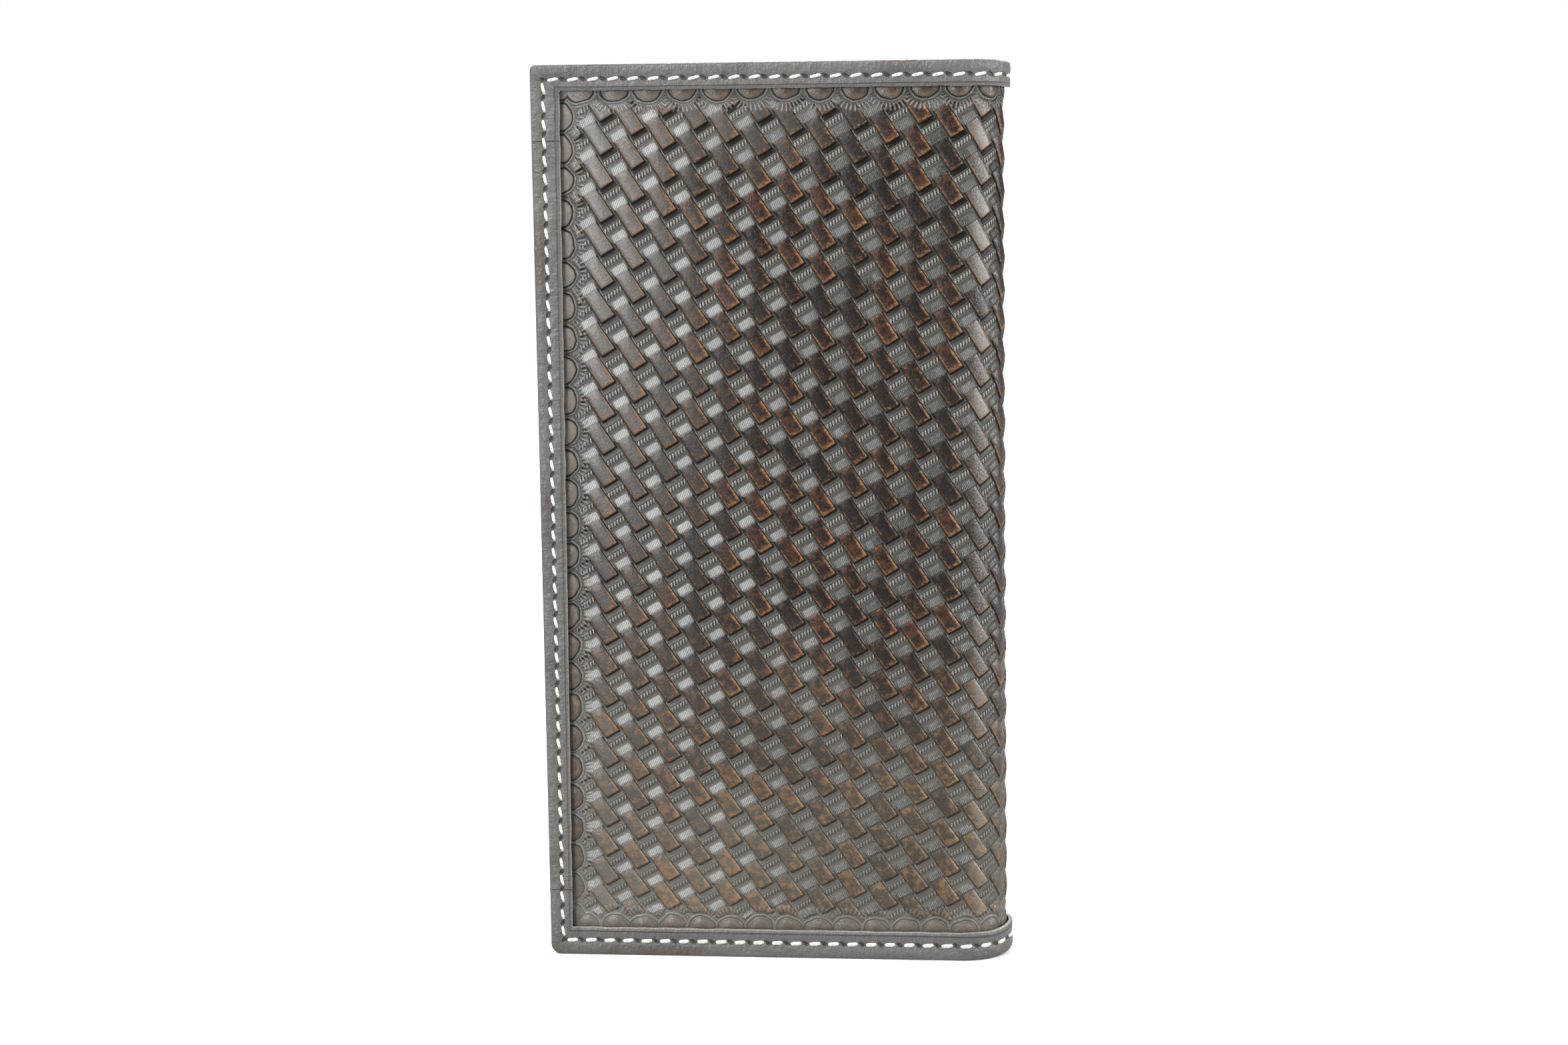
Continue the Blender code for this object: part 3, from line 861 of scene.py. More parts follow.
@dataclass(frozen=True)
class StampedLeather(Finish):
    """Dark brown stamped leather: greyed ground, worn tan edges, painted sheen, a painted floor
    reflection low down, pads painted pale as highlights, and painted shade and highlights on the stamped
    relief.
    """

    ground: tuple = (0.044, 0.043, 0.036, 1)
    # painted shade: near-black for the recess below each strap's lower end
    recess: tuple = (0.013, 0.011, 0.009, 1)
    # painted highlight: pale grey for the raised rope rungs, beads, and the border's rims, ribs and rays
    ridge_highlight: tuple = (0.27, 0.265, 0.24, 1)
    # painted shade: near-black for the crevices, the gaps between rope rungs and the border's grooves
    crevice: tuple = (0.005, 0.004, 0.0035, 1)
    # painted floor reflection: lighter, greyer ground low down
    reflected_low_ground: tuple = (0.116, 0.109, 0.092, 1)
    strap_dark: tuple = (0.008, 0.006, 0.005, 1)
    strap_red: tuple = (0.050, 0.020, 0.009, 1)
    # grey for random scuffed patches and, low down, a painted floor reflection
    strap_grey: tuple = (0.100, 0.086, 0.066, 1)
    worn_tan: tuple = (0.24, 0.120, 0.045, 1)
    worn_gold: tuple = (0.27, 0.160, 0.070, 1)
    # painted highlight: near white for the pads, strongest towards the open side
    pad_highlight: tuple = (0.53, 0.535, 0.52, 1)
    dome_brown: tuple = (0.052, 0.038, 0.028, 1)
    dome_tan: tuple = (0.13, 0.078, 0.040, 1)
    rough: float = 0.33
    # painted sheen: the pale grey laid where a sheen of light falls on straps, domes and ground
    sheen_tone: tuple = (0.24, 0.23, 0.21, 1)
    bulge: float = 1.5e-5

    def lay_out(self, bench: NodeBench, shader: bpy.types.Node) -> None:
        """Lay out the stamped leather."""
        stamp_place = self.uv(bench, "stamp")
        sheet = self.uv(bench, "sheet")
        across, down, _ = bench.split(stamp_place)
        sets = [self._shapes(bench, across, down, odd) for odd in (True, False)]
        border = self._border(bench, self.uv(bench, "border"))
        inner = bench.flip(border["zone"])
        strap = bench.times(self._highest(bench, sets, "Strap"), inner)
        off_strap = bench.times(bench.flip(strap), inner)
        masks = {"strap": strap}
        for name in ("Pad", "Rope", "Lines", "Recess", "RopeZone", "Crevice", "Bead", "Pillow"):
            masks[name.lower()] = bench.times(self._highest(bench, sets, name), off_strap)
        masks["wear"] = bench.times(self._highest(bench, sets, "Wear"), inner)
        masks.update(border)
        masks["own"] = self._own_tone(bench, across, down, sets)
        _, up, _ = bench.split(sheet)
        # rises toward the top: scales the painted recess shade and the matt cavity
        masks["deep"] = bench.span(up, 112.0, 158.0, 0.3, 1.0)
        masks["blotch"] = bench.noise(sheet, 0.62, 4.0, 0.62, 0.4)
        masks["patches"] = bench.noise(sheet, 0.040, 2.0, 0.5)
        masks["scuffs"] = bench.noise(sheet, 2.6, 4.0, 0.72)
        masks["speckle"] = bench.noise(sheet, 1.9, 3.0, 0.6)
        grain = bench.use(LeatherGrain.group(), Place=sheet, Size=1.5)
        bench.wire(self._colour(bench, masks, sheet), shader.inputs["Base Color"])
        rough = bench.span(masks["scuffs"], 0.3, 0.7, self.rough - 0.07, self.rough + 0.12)
        rough = bench.blend(masks["pad"], rough, self.rough - 0.04)
        bench.wire(rough, shader.inputs["Roughness"])
        height = bench.times(masks["rope"], 0.30)
        amounts = {"lines": 0.16, "pillow": 0.30, "rays": 0.24, "bead": 0.16, "scuffs": 0.03,
                   "rim": 0.14, "groove": -0.16, "cushion": 0.34, "strap": 0.10, "crevice": -0.12}
        for name, amount in amounts.items():
            height = bench.plus(height, bench.times(masks[name], amount))
        height = bench.plus(height, bench.times(grain.outputs["Height"], 0.05))
        height = bench.plus(height, self._bulge(bench, sheet))
        bench.wire(bench.bump(height, MM), shader.inputs["Normal"])
        cavity = bench.times(masks["recess"], masks["deep"])
        cavity = bench.most(cavity, masks["crevice"])
        cavity = bench.most(cavity, masks["groove"])
        gap = bench.times(masks["ropezone"], bench.flip(masks["rope"]))
        cavity = bench.most(cavity, bench.times(gap, 0.7))
        dull = bench.times(strap, bench.flip(self._polished(bench, sheet)))
        gloss = bench.blend(dull, 0.55, 0.26)
        bench.wire(bench.blend(cavity, gloss, 0.12), shader.inputs["Specular IOR Level"])
        shader.inputs["IOR"].default_value = 1.5

    def _bulge(self, bench: NodeBench, sheet: Socket) -> Socket:
        """The soft swell of the filled cover, which falls away towards its edges.

        Args:
            bench: Bench of the material's tree.
            sheet: Place on the sheet.

        Returns:
            The height in millimetres.
        """
        right, up, _ = bench.split(sheet)
        along = bench.minus(bench.size(right), 32.0)
        rise = bench.size(bench.minus(up, PATTERN.height / 2))
        fall = bench.plus(bench.math("POWER", bench.most(along, 0.0), 3.0),
                          bench.times(bench.math("POWER", rise, 3.0), 0.5))
        waves = bench.times(bench.noise(sheet, 0.035, 2.0), 0.9)
        return bench.minus(waves, bench.times(fall, self.bulge))

    @staticmethod
    def _polished(bench: NodeBench, sheet: Socket) -> Socket:
        """Where handling has polished the whole cover: by the spine and the open edge.

        Args:
            bench: Bench of the material's tree.
            sheet: Place on the sheet.

        Returns:
            The mask.
        """
        right, _, _ = bench.split(sheet)
        away = bench.size(right)
        return bench.plus(bench.step(away, 62.0, 94.0), bench.step(away, 20.0, 8.0), True)

    @staticmethod
    def _shapes(bench: NodeBench, across: Socket, down: Socket, odd: bool) -> bpy.types.Node:
        """The stamped shapes of every second column.

        Args:
            bench: Bench of the material's tree.
            across: Place over the columns.
            down: Place along the straps.
            odd: Which of the two sets of columns is meant.

        Returns:
            The group's node.
        """
        over_shift = STAMP.across_start + (STAMP.column if odd else 0.0)
        along_shift = STAMP.down_start + (0.0 if odd else STAMP.row)
        over = bench.wrapped(bench.minus(across, over_shift), 2 * STAMP.column)
        along = bench.wrapped(bench.minus(down, along_shift), 2 * STAMP.row)
        return bench.use(StampShapes.group(), Over=over, Along=along)

    @staticmethod
    def _own_tone(bench: NodeBench, across: Socket, down: Socket, sets: Sequence) -> Socket:
        """A tone between 0 and 1 that each strap has of its own.

        Args:
            bench: Bench of the material's tree.
            across: Place over the columns.
            down: Place along the straps.
            sets: The group's nodes of both sets of columns.

        Returns:
            The tone.
        """
        tones = []
        for odd in (True, False):
            over_shift = STAMP.across_start + (STAMP.column if odd else 0.0)
            along_shift = STAMP.down_start + (0.0 if odd else STAMP.row)
            column = bench.math("DIVIDE", bench.minus(across, over_shift), 2 * STAMP.column)
            row = bench.math("DIVIDE", bench.minus(down, along_shift), 2 * STAMP.row)
            set_mark = 3.5 if odd else 8.5
            place = bench.join(bench.math("ROUND", column), bench.math("ROUND", row), set_mark)
            white = bench.node("ShaderNodeTexWhiteNoise", noise_dimensions="3D")
            bench.wire(place, white.inputs["Vector"])
            tones.append(white.outputs["Value"])
        return bench.blend(sets[0].outputs["Strap"], tones[1], tones[0])

    @staticmethod
    def _highest(bench: NodeBench, sets: Sequence, name: str) -> Socket:
        """The greater of one mask of the two sets of columns."""
        return bench.most(sets[0].outputs[name], sets[1].outputs[name])

    @staticmethod
    def _border(bench: NodeBench, sheet: Socket) -> dict:
        """Masks of the half-round border: its zone, domes, rays, rims and grooves.

        Args:
            bench: Bench of the material's tree.
            sheet: Place on the sheet.

        Returns:
            The masks by name.
        """
        right, up, _ = bench.split(sheet)
        rise = (BORDER.side_high_inset - BORDER.side_low_inset) / PATTERN.height
        edge = bench.minus(PATTERN.open_edge - BORDER.side_low_inset, bench.times(up, rise))
        side = bench.minus(edge, bench.size(right))
        top = bench.minus(PATTERN.height - BORDER.top_inset, up)
        bottom = bench.minus(up, BORDER.bottom_inset)
        reaches, angles = [], []
        for inwards, run, spacing in ((side, up, BORDER.side_spacing), (top, right, BORDER.top_spacing),
                                      (bottom, right, BORDER.bottom_spacing)):
            run = bench.wrapped(bench.minus(run, spacing[1]), spacing[0])
            sideways = bench.math("DIVIDE", run, BORDER.half_width)
            inward = bench.math("DIVIDE", inwards, BORDER.depth)
            length = bench.node("ShaderNodeVectorMath", operation="LENGTH")
            bench.wire(bench.join(sideways, inward), length.inputs[0])
            reaches.append(length.outputs["Value"])
            angles.append(bench.math("ARCTAN2", sideways, inward))
        reach, angle = reaches[0], angles[0]
        for other, turned in zip(reaches[1:], angles[1:]):
            nearer = bench.math("LESS_THAN", other, reach)
            angle = bench.blend(nearer, angle, turned)
            reach = bench.least(reach, other)
        uneven = bench.minus(bench.noise(sheet, 0.28, 2.0), 0.5)
        reach = bench.plus(reach, bench.times(uneven, 0.5))
        spokes = bench.size(bench.wrapped(angle, 0.19))
        spokes = bench.flip(bench.step(spokes, 0.015, 0.075))
        ribs = bench.size(bench.wrapped(angle, 0.14))
        ribs = bench.flip(bench.step(ribs, 0.0, 0.06))
        lines = bench.most(bench.line(reach, 1.03, 0.015, 0.06),
                           bench.times(bench.line(reach, 1.30, 0.0, 0.06), 0.3))
        faint = bench.span(up, 6.0, 26.0, 0.4, 1.0)
        rim = bench.times(bench.line(reach, 1.16, 0.01, 0.10), 0.9)
        rays = bench.times(spokes, bench.band(reach, 1.3, 2.15, 0.25))
        return {
            "zone": bench.flip(bench.step(reach, 1.36, 1.5)),
            "dome": bench.flip(bench.step(reach, 0.9, 1.0)),
            "rim": bench.times(rim, faint),
            "groove": bench.times(lines, faint),
            "cushion": bench.flip(bench.step(reach, 0.1, 1.1)),
            "ribs": bench.times(ribs, bench.band(reach, 0.45, 0.95, 0.2)),
            "rays": bench.times(rays, faint),
        }

    @staticmethod
    def _regions(bench: NodeBench, masks: dict, sheet: Socket) -> dict:
        """Masks of the regions for the painted floor reflection, the painted sheen, the pads' painted
        highlight and the low smudges of wear.

        Args:
            bench: Bench of the material's tree.
            masks: The noises, by name.
            sheet: Place on the sheet.

        Returns:
            The masks by name: low down, its opposite, towards the open side, a patch of painted sheen,
            painted sheen by the spine, painted sheen at the corners, and where the pads get a painted
            highlight.
        """
        times, plus = bench.times, bench.plus
        right, up, _ = bench.split(sheet)
        patches, scuffs = masks["patches"], masks["scuffs"]
        uneven_right = plus(right, times(patches, 30.0))
        # low down: the painted floor reflection, weaker painted shade and highlights, and the gold
        # smudges of wear
        low = bench.span(plus(up, times(patches, 40.0)), 30.0, 95.0, 1.0, 0.0)
        # a patch of painted sheen towards the open side and up the cover
        sheen_patch = times(bench.step(uneven_right, -36.0, -88.0),
                      bench.step(plus(up, times(patches, 30.0)), 30.0, 175.0),
                      bench.span(scuffs, 0.35, 0.6, 0.55, 1.0))
        leftish = bench.step(uneven_right, 0.0, -56.0)
        # painted sheen in a band beside the spine
        spine_sheen = times(bench.band(bench.size(right), 5.0, 14.0, 4.0),
                         bench.span(up, 10.0, 110.0, 0.6, 1.0),
                         bench.step(plus(scuffs, times(masks["own"], 0.2)), 0.45, 0.75))
        # painted sheen at the top and the low corners
        top = times(bench.step(plus(up, times(patches, 20.0)), 166.0, 192.0), times(leftish, 0.30))
        open_side = bench.step(plus(right, times(patches, 20.0)), -64.0, -90.0)
        bottom = times(low, plus(times(leftish, 0.17), times(open_side, 0.24)))
        return {
            "low": low,
            # weaker painted shade and highlights low down
            "high": bench.span(low, 0.0, 1.0, 1.0, 0.5),
            "leftish": leftish,
            "sheen_patch": sheen_patch,
            "spine_sheen": spine_sheen,
            "corner_sheen": bench.most(top, bottom),
            # where the pads get most of their painted highlight: towards the open side
            "handled_sheen": times(bench.step(uneven_right, -12.0, -62.0),
                             bench.span(up, 15.0, 90.0, 0.8, 1.0)),
        }

    def _strap_colour(self, bench: NodeBench, masks: dict) -> Socket:
        """The straps' colour, with painted sheen and a painted floor reflection low down, without their
        worn edges.

        Args:
            bench: Bench of the material's tree.
            masks: The masks, the noises and the regions, by name.

        Returns:
            The colour.
        """
        times, plus, low = bench.times, bench.plus, masks["low"]
        mottled = plus(times(masks["blotch"], 0.6), times(masks["speckle"], 0.4))
        mottled = plus(plus(mottled, times(masks["own"], 0.12)), times(masks["wear"], 0.16))
        red = times(bench.step(mottled, 0.54, 0.68), bench.step(masks["patches"], 0.30, 0.50))
        body = bench.mix(red, self.strap_dark, self.strap_red)
        # grey straps in random scuffed patches, and low down as a painted floor reflection
        greyed = times(bench.step(plus(masks["scuffs"], times(low, 0.22)), 0.52, 0.82),
                       bench.span(low, 0.0, 1.0, 0.22, 1.0))
        body = bench.mix(bench.most(greyed, times(low, 0.55)), body, self.strap_grey)
        # painted sheen over the straps
        sheen_share = bench.most(times(masks["sheen_patch"], 0.62), times(masks["spine_sheen"], 0.7))
        return bench.mix(bench.most(sheen_share, masks["corner_sheen"]), body, self.sheen_tone)

    def _worn(self, bench: NodeBench, masks: dict, colour: Socket) -> Socket:
        """Lay worn edges and smudges over a colour.

        Args:
            bench: Bench of the material's tree.
            masks: The masks, the noises and the regions, by name.
            colour: The colour so far.

        Returns:
            The new colour.
        """
        times, plus, own = bench.times, bench.plus, masks["own"]
        ragged = plus(times(masks["wear"], 0.5), times(masks["speckle"], 1.1))
        ragged = plus(plus(ragged, times(masks["scuffs"], 0.5)), times(masks["blotch"], 0.7))
        ragged = plus(ragged, times(own, 0.22))
        # the worn tan is weaker under the patch of painted sheen
        worn = times(bench.step(masks["wear"], 0.02, 0.3), bench.step(ragged, 1.52, 1.92),
                     bench.span(masks["sheen_patch"], 0.0, 1.0, 1.0, 0.35))
        smudge = times(masks["strap"], masks["low"],
                       bench.step(plus(masks["blotch"], times(own, 0.10)), 0.50, 0.72))
        tan = bench.mix(masks["low"], self.worn_tan, self.worn_gold)
        return bench.mix(bench.most(times(worn, 0.95), times(smudge, 0.62)), colour, tan)

    def _bordered(self, bench: NodeBench, masks: dict, sheet: Socket, colour: Socket) -> Socket:
        """Lay the border's domes, rims, grooves and rays over a colour, with painted highlights on the
        rims, ribs and rays and painted shade in the grooves.

        Args:
            bench: Bench of the material's tree.
            masks: The masks, the noises and the regions, by name.
            sheet: Place on the sheet.
            colour: The colour so far.

        Returns:
            The new colour.
        """
        times, scuffs = bench.times, masks["scuffs"]
        _, up, _ = bench.split(sheet)
        inside = bench.mix(bench.step(masks["blotch"], 0.42, 0.68), self.dome_brown, self.dome_tan)
        inside = bench.mix(times(bench.step(scuffs, 0.45, 0.7), 0.5), inside, self.strap_dark)
        # painted sheen on the domes
        inside = bench.mix(times(masks["sheen_patch"], 0.6), inside, self.sheen_tone)
        plain = bench.span(up, 6.0, 26.0, 0.55, 1.0)
        layers = (
            (times(masks["dome"], plain), inside),
            # painted highlights on the border's ribs and rims
            (times(masks["ribs"], 0.25), self.ridge_highlight),
            (times(masks["rim"], bench.span(scuffs, 0.4, 0.65, 0.15, 0.7)), self.ridge_highlight),
            # painted shade in the border's grooves
            (times(masks["groove"], 0.75), self.crevice),
            # painted highlights on the border's rays
            (times(masks["rays"], bench.span(scuffs, 0.35, 0.6, 0.3, 0.8)), self.ridge_highlight),
        )
        for share, tone in layers:
            colour = bench.mix(share, colour, tone)
        return colour

    def _colour(self, bench: NodeBench, masks: dict, sheet: Socket) -> Socket:
        """The stamped leather's colour, with painted shade in the recesses, crevices, rope gaps and
        between the pad lines, and painted highlights on pads, rungs, beads and the border's ridges.

        Args:
            bench: Bench of the material's tree.
            masks: The stamped shapes' masks and the noises, by name.
            sheet: Place on the sheet.

        Returns:
            The colour.
        """
        times = bench.times
        masks = {**masks, **self._regions(bench, masks, sheet)}
        high, pad = masks["high"], masks["pad"]
        # painted floor reflection: the ground lighter and greyer low down
        ground = bench.mix(masks["low"], self.ground, self.reflected_low_ground)
        # painted sheen on the ground at the top and low corners
        ground = bench.mix(times(masks["corner_sheen"], 0.8), ground, self.sheen_tone)
        # painted shade in the recess below each strap's lower end, stronger toward the top
        ground = bench.mix(times(masks["recess"], high, masks["deep"]), ground, self.recess)
        colour = bench.mix(masks["strap"], ground, self._strap_colour(bench, masks))
        colour = self._worn(bench, masks, colour)
        # share of the pads' painted highlight: mostly towards the open side, a little per strap at
        # random
        rubbed = bench.plus(times(masks["handled_sheen"], 0.64), bench.span(masks["own"], 0.0, 1.0, 0.0, 0.20))
        layers = (
            # painted shade in the crevices beside each strap, weaker low down
            (times(masks["crevice"], 0.85, high), self.crevice),
            # the pads painted pale as a painted highlight
            (times(pad, rubbed, bench.most(high, masks["leftish"])), self.pad_highlight),
            # painted shade on the pads between their raised lines
            (times(pad, bench.flip(masks["lines"]), 0.5), self.recess),
            # painted shade in the gaps between the rope rungs, weaker low down
            (times(masks["ropezone"], 0.5, high), self.crevice),
            # painted highlights on the rope rungs and on the bead beside each strap
            (times(masks["rope"], 0.95, high), self.ridge_highlight),
            (times(masks["bead"], bench.step(masks["scuffs"], 0.35, 0.6)), self.ridge_highlight),
        )
        for share, tone in layers:
            colour = bench.mix(share, colour, tone)
        return self._bordered(bench, masks, sheet, colour)


@dataclass(frozen=True)
class BindingLeather(Finish):
    """Thin grey-brown binding: fine grain, needle holes, a pale raw edge."""

    body: tuple = (0.104, 0.102, 0.096, 1)
    shade: tuple = (0.074, 0.064, 0.056, 1)
    raw: tuple = (0.36, 0.35, 0.32, 1)
    hole: tuple = (0.012, 0.009, 0.007, 1)
    rough: float = 0.38

    def lay_out(self, bench: NodeBench, shader: bpy.types.Node) -> None:
        """Lay out the binding."""
        seam = self.uv(bench, "seam")
        sheet = self.uv(bench, "sheet")
        run, off, _ = bench.split(seam)
        inset, _, _ = bench.split(self.uv(bench, "cut"))
        grain = bench.use(LeatherGrain.group(), Place=sheet, Size=1.0)
        streaks = bench.noise(bench.vector("MULTIPLY", sheet, (0.9, 0.22, 1.0)), 1.5, 3.0, 0.6)
        tone = bench.noise(sheet, 0.06, 3.0, 0.55)
        outer = bench.flip(bench.step(inset, 1.9, 2.6))
        browned = bench.times(bench.step(tone, 0.45, 0.65), bench.blend(outer, 0.35, 1.0))
        browned = bench.plus(browned, bench.times(bench.step(streaks, 0.5, 0.75), 0.3), True)
        colour = bench.mix(browned, self.body, self.shade)
        place = bench.times(bench.wrapped(run, 1.0), SEAM.pitch)
        slot = bench.node("ShaderNodeVectorMath", operation="LENGTH")
        leaning = bench.plus(off, bench.times(place, 0.35))
        bench.wire(bench.join(bench.times(place, 0.62), leaning), slot.inputs[0])
        hole = bench.flip(bench.step(slot.outputs["Value"], 0.20, 0.52))
        colour = bench.mix(bench.times(hole, 0.92), colour, self.hole)
        crease = bench.line(bench.plus(inset, bench.times(tone, 0.3)),
                            PATTERN.binding_width - 0.5, 0.03, 0.14)
        colour = bench.mix(bench.times(crease, 0.55), colour, self.hole)
        length, _, _ = bench.split(sheet)
        joints = [bench.line(bench.plus(length, bench.times(streaks, 0.4)), at, 0.05, 0.16)
                  for at in BINDING_JOINTS]
        joint = bench.most(*joints)
        colour = bench.mix(bench.times(joint, 0.7), colour, self.hole)
        frayed = bench.plus(inset, bench.times(bench.noise(sheet, 3.0, 3.0, 0.7), 0.5))
        raw = bench.step(frayed, PATTERN.binding_width + 0.1, PATTERN.binding_width + 0.32)
        colour = bench.mix(bench.times(raw, 0.8), colour, self.raw)
        bench.wire(colour, shader.inputs["Base Color"])
        rough = bench.blend(grain.outputs["Pores"], self.rough + 0.14, self.rough)
        bench.wire(rough, shader.inputs["Roughness"])
        height = bench.times(grain.outputs["Height"], 0.09)
        height = bench.plus(height, bench.times(streaks, 0.26))
        height = bench.plus(height, bench.times(bench.noise(sheet, 0.45, 2.0, 0.5), 0.5))
        height = bench.minus(height, bench.times(hole, 0.4))
        height = bench.minus(height, bench.times(bench.most(crease, joint), 0.2))
        bench.wire(bench.bump(height, MM), shader.inputs["Normal"])
        shader.inputs["Specular IOR Level"].default_value = 0.5
        shader.inputs["Sheen Weight"].default_value = 0.12
        shader.inputs["Sheen Roughness"].default_value = 0.5


class CreasedEdge(Enum):
    """The edge of a pocket leather that is creased and painted."""

    MOUTH = "mouth"
    FREE_SIDE = "free side"
    WINDOW = "window"


@dataclass(frozen=True)
class PocketLeather(Finish):
    """Smooth dark brown leather with one creased and painted edge."""

    edge: CreasedEdge
    mouth: float = 0.0
    body: tuple = (0.060, 0.036, 0.024, 1)
    light: tuple = (0.100, 0.060, 0.040, 1)
    paint: tuple = (0.014, 0.010, 0.008, 1)
    rough: float = 0.42

    def lay_out(self, bench: NodeBench, shader: bpy.types.Node) -> None:
        """Lay out the pocket leather."""
        place = self.object_place(bench)
        grain = bench.use(LeatherGrain.group(), Place=place, Size=1.7)
        rubbed = bench.times(bench.step(grain.outputs["Tone"], 0.40, 0.75), 0.5)
        mottle = bench.times(bench.step(bench.noise(place, 1.1, 4.0, 0.65), 0.40, 0.75), 0.3)
        aged = bench.times(bench.step(bench.noise(place, 0.02, 2.0, 0.5), 0.35, 0.70), 0.3)
        mottle = bench.plus(mottle, aged)
        colour = bench.mix(bench.plus(rubbed, mottle, True), self.body, self.light)
        height = bench.times(grain.outputs["Height"], 0.045)
        inward = self._distance_in(bench, place)
        rough = bench.blend(grain.outputs["Pores"], self.rough + 0.15, self.rough)
        crease = bench.line(inward, 1.3, 0.06, 0.22)
        height = bench.minus(height, bench.times(crease, 0.22))
        colour = bench.mix(bench.times(crease, 0.6), colour, self.paint)
        painted = bench.flip(bench.step(inward, 0.12, 0.35))
        colour = bench.mix(bench.times(painted, 0.85), colour, self.paint)
        handled_sheen = bench.flip(bench.step(inward, 1.5, 9.0))
        handled_sheen = bench.times(handled_sheen, bench.step(grain.outputs["Tone"], 0.35, 0.6))
        rough = bench.blend(handled_sheen, rough, self.rough - 0.12)
        bench.wire(colour, shader.inputs["Base Color"])
        bench.wire(rough, shader.inputs["Roughness"])
        bench.wire(bench.bump(height, MM), shader.inputs["Normal"])

    def _distance_in(self, bench: NodeBench, place: Socket) -> Socket:
        """Distance in from the mouth, the free side or the window's opening.

        Args:
            bench: Bench of the material's tree.
            place: Object place in millimetres.

        Returns:
            The distance.
        """
        x, _, up = bench.split(place)
        if self.edge is CreasedEdge.MOUTH:
            middle = POCKETS.face_x((POCKETS.spine_end + POCKETS.far_end) / 2, POCKETS.faces[1])
            half = POCKETS.notch_width / 2
            share = bench.span(x, middle - half, middle + half, 0.0, math.pi)
            wave = bench.math("SINE", share)
            drop = bench.times(bench.times(wave, wave), POCKETS.notch_drop)
            return bench.minus(bench.minus(self.mouth, drop), up)
        if self.edge is CreasedEdge.FREE_SIDE:
            return bench.minus(POCKETS.face_x(POCKETS.panel_end, POCKETS.panel_face), x)
        ends = [POCKETS.face_x(along, POCKETS.window_face) for along in POCKETS.window_sides]
        low, high = POCKETS.window_heights
        beside = bench.size(bench.minus(x, sum(ends) / 2))
        beside = bench.minus(beside, abs(ends[0] - ends[1]) / 2)
        above = bench.size(bench.minus(up, (low + high) / 2))
        above = bench.minus(above, (high - low) / 2)
        return bench.most(beside, above)


@dataclass(frozen=True)
class LiningCloth(Finish):
    """Black plain-weave lining."""

    dark: tuple = (0.010, 0.009, 0.009, 1)
    light: tuple = (0.040, 0.037, 0.036, 1)
    thread: float = 0.42

    def lay_out(self, bench: NodeBench, shader: bpy.types.Node) -> None:
        """Lay out the weave."""
        sheet = self.uv(bench, "sheet")
        x, y, _ = bench.split(sheet)
        turn = 2 * math.pi / self.thread
        warp = bench.math("SINE", bench.times(x, turn))
        weft = bench.math("SINE", bench.times(y, turn))
        over = bench.times(warp, weft)
        height = bench.plus(bench.times(over, 0.5), bench.noise(sheet, 6.0, 2.0))
        slub = bench.noise(bench.vector("MULTIPLY", sheet, (0.3, 3.0, 1.0)), 1.2, 3.0, 0.6)
        # lighter on the raised crossings of the weave as a painted highlight, darker between them as
        # painted shade, with slubs of tone
        colour = bench.mix(bench.step(bench.plus(over, slub), 0.0, 1.4), self.dark, self.light)
        bench.wire(colour, shader.inputs["Base Color"])
        shader.inputs["Roughness"].default_value = 0.8
        shader.inputs["Sheen Weight"].default_value = 0.3
        bench.wire(bench.bump(height, MM, 0.5), shader.inputs["Normal"])


@dataclass(frozen=True)
class ClearSheetFinish(Finish):
    """Clear flexible sheet, slightly grey and scuffed."""

    tint: tuple = (0.90, 0.92, 0.92, 1)

    def lay_out(self, bench: NodeBench, shader: bpy.types.Node) -> None:
        """Lay out the clear sheet."""
        place = self.object_place(bench)
        scuffs = bench.noise(bench.vector("MULTIPLY", place, (1.0, 1.0, 0.12)), 0.5, 3.0, 0.55)
        shader.inputs["Base Color"].default_value = self.tint
        shader.inputs["Transmission Weight"].default_value = 1.0
        shader.inputs["IOR"].default_value = 1.46
        bench.wire(bench.span(scuffs, 0.4, 0.75, 0.02, 0.10), shader.inputs["Roughness"])
        bench.wire(bench.bump(bench.noise(place, 0.05, 1.0), MM, 0.4), shader.inputs["Normal"])


@dataclass(frozen=True)
class SeamThread(Finish):
    """Waxed cream thread with its twist."""

    cream: tuple = (0.70, 0.68, 0.62, 1)
    # colour for the painted shade in the twist's grooves and for soiling
    soiled_and_shaded: tuple = (0.52, 0.47, 0.38, 1)

    def lay_out(self, bench: NodeBench, shader: bpy.types.Node) -> None:
        """Lay out the thread."""
        run, around, _ = bench.split(self.uv(bench, "thread"))
        twist = bench.plus(bench.times(run, 6.5), bench.times(around, 6.283))
        ply = bench.math("SINE", twist)
        fuzz = bench.noise(bench.join(run, around), 5.0, 3.0, 0.6)
        # painted shade in the grooves of the twist, and soiling at random from the fuzz
        twist_shade_and_dirt = bench.times(bench.step(bench.times(ply, -1.0), 0.4, 1.0), 0.5)
        twist_shade_and_dirt = bench.plus(twist_shade_and_dirt, bench.times(bench.step(fuzz, 0.55, 0.8), 0.4), True)
        bench.wire(bench.mix(twist_shade_and_dirt, self.cream, self.soiled_and_shaded), shader.inputs["Base Color"])
        shader.inputs["Roughness"].default_value = 0.6
        height = bench.plus(bench.times(ply, 0.05), bench.times(fuzz, 0.03))
        bench.wire(bench.bump(height, MM), shader.inputs["Normal"])


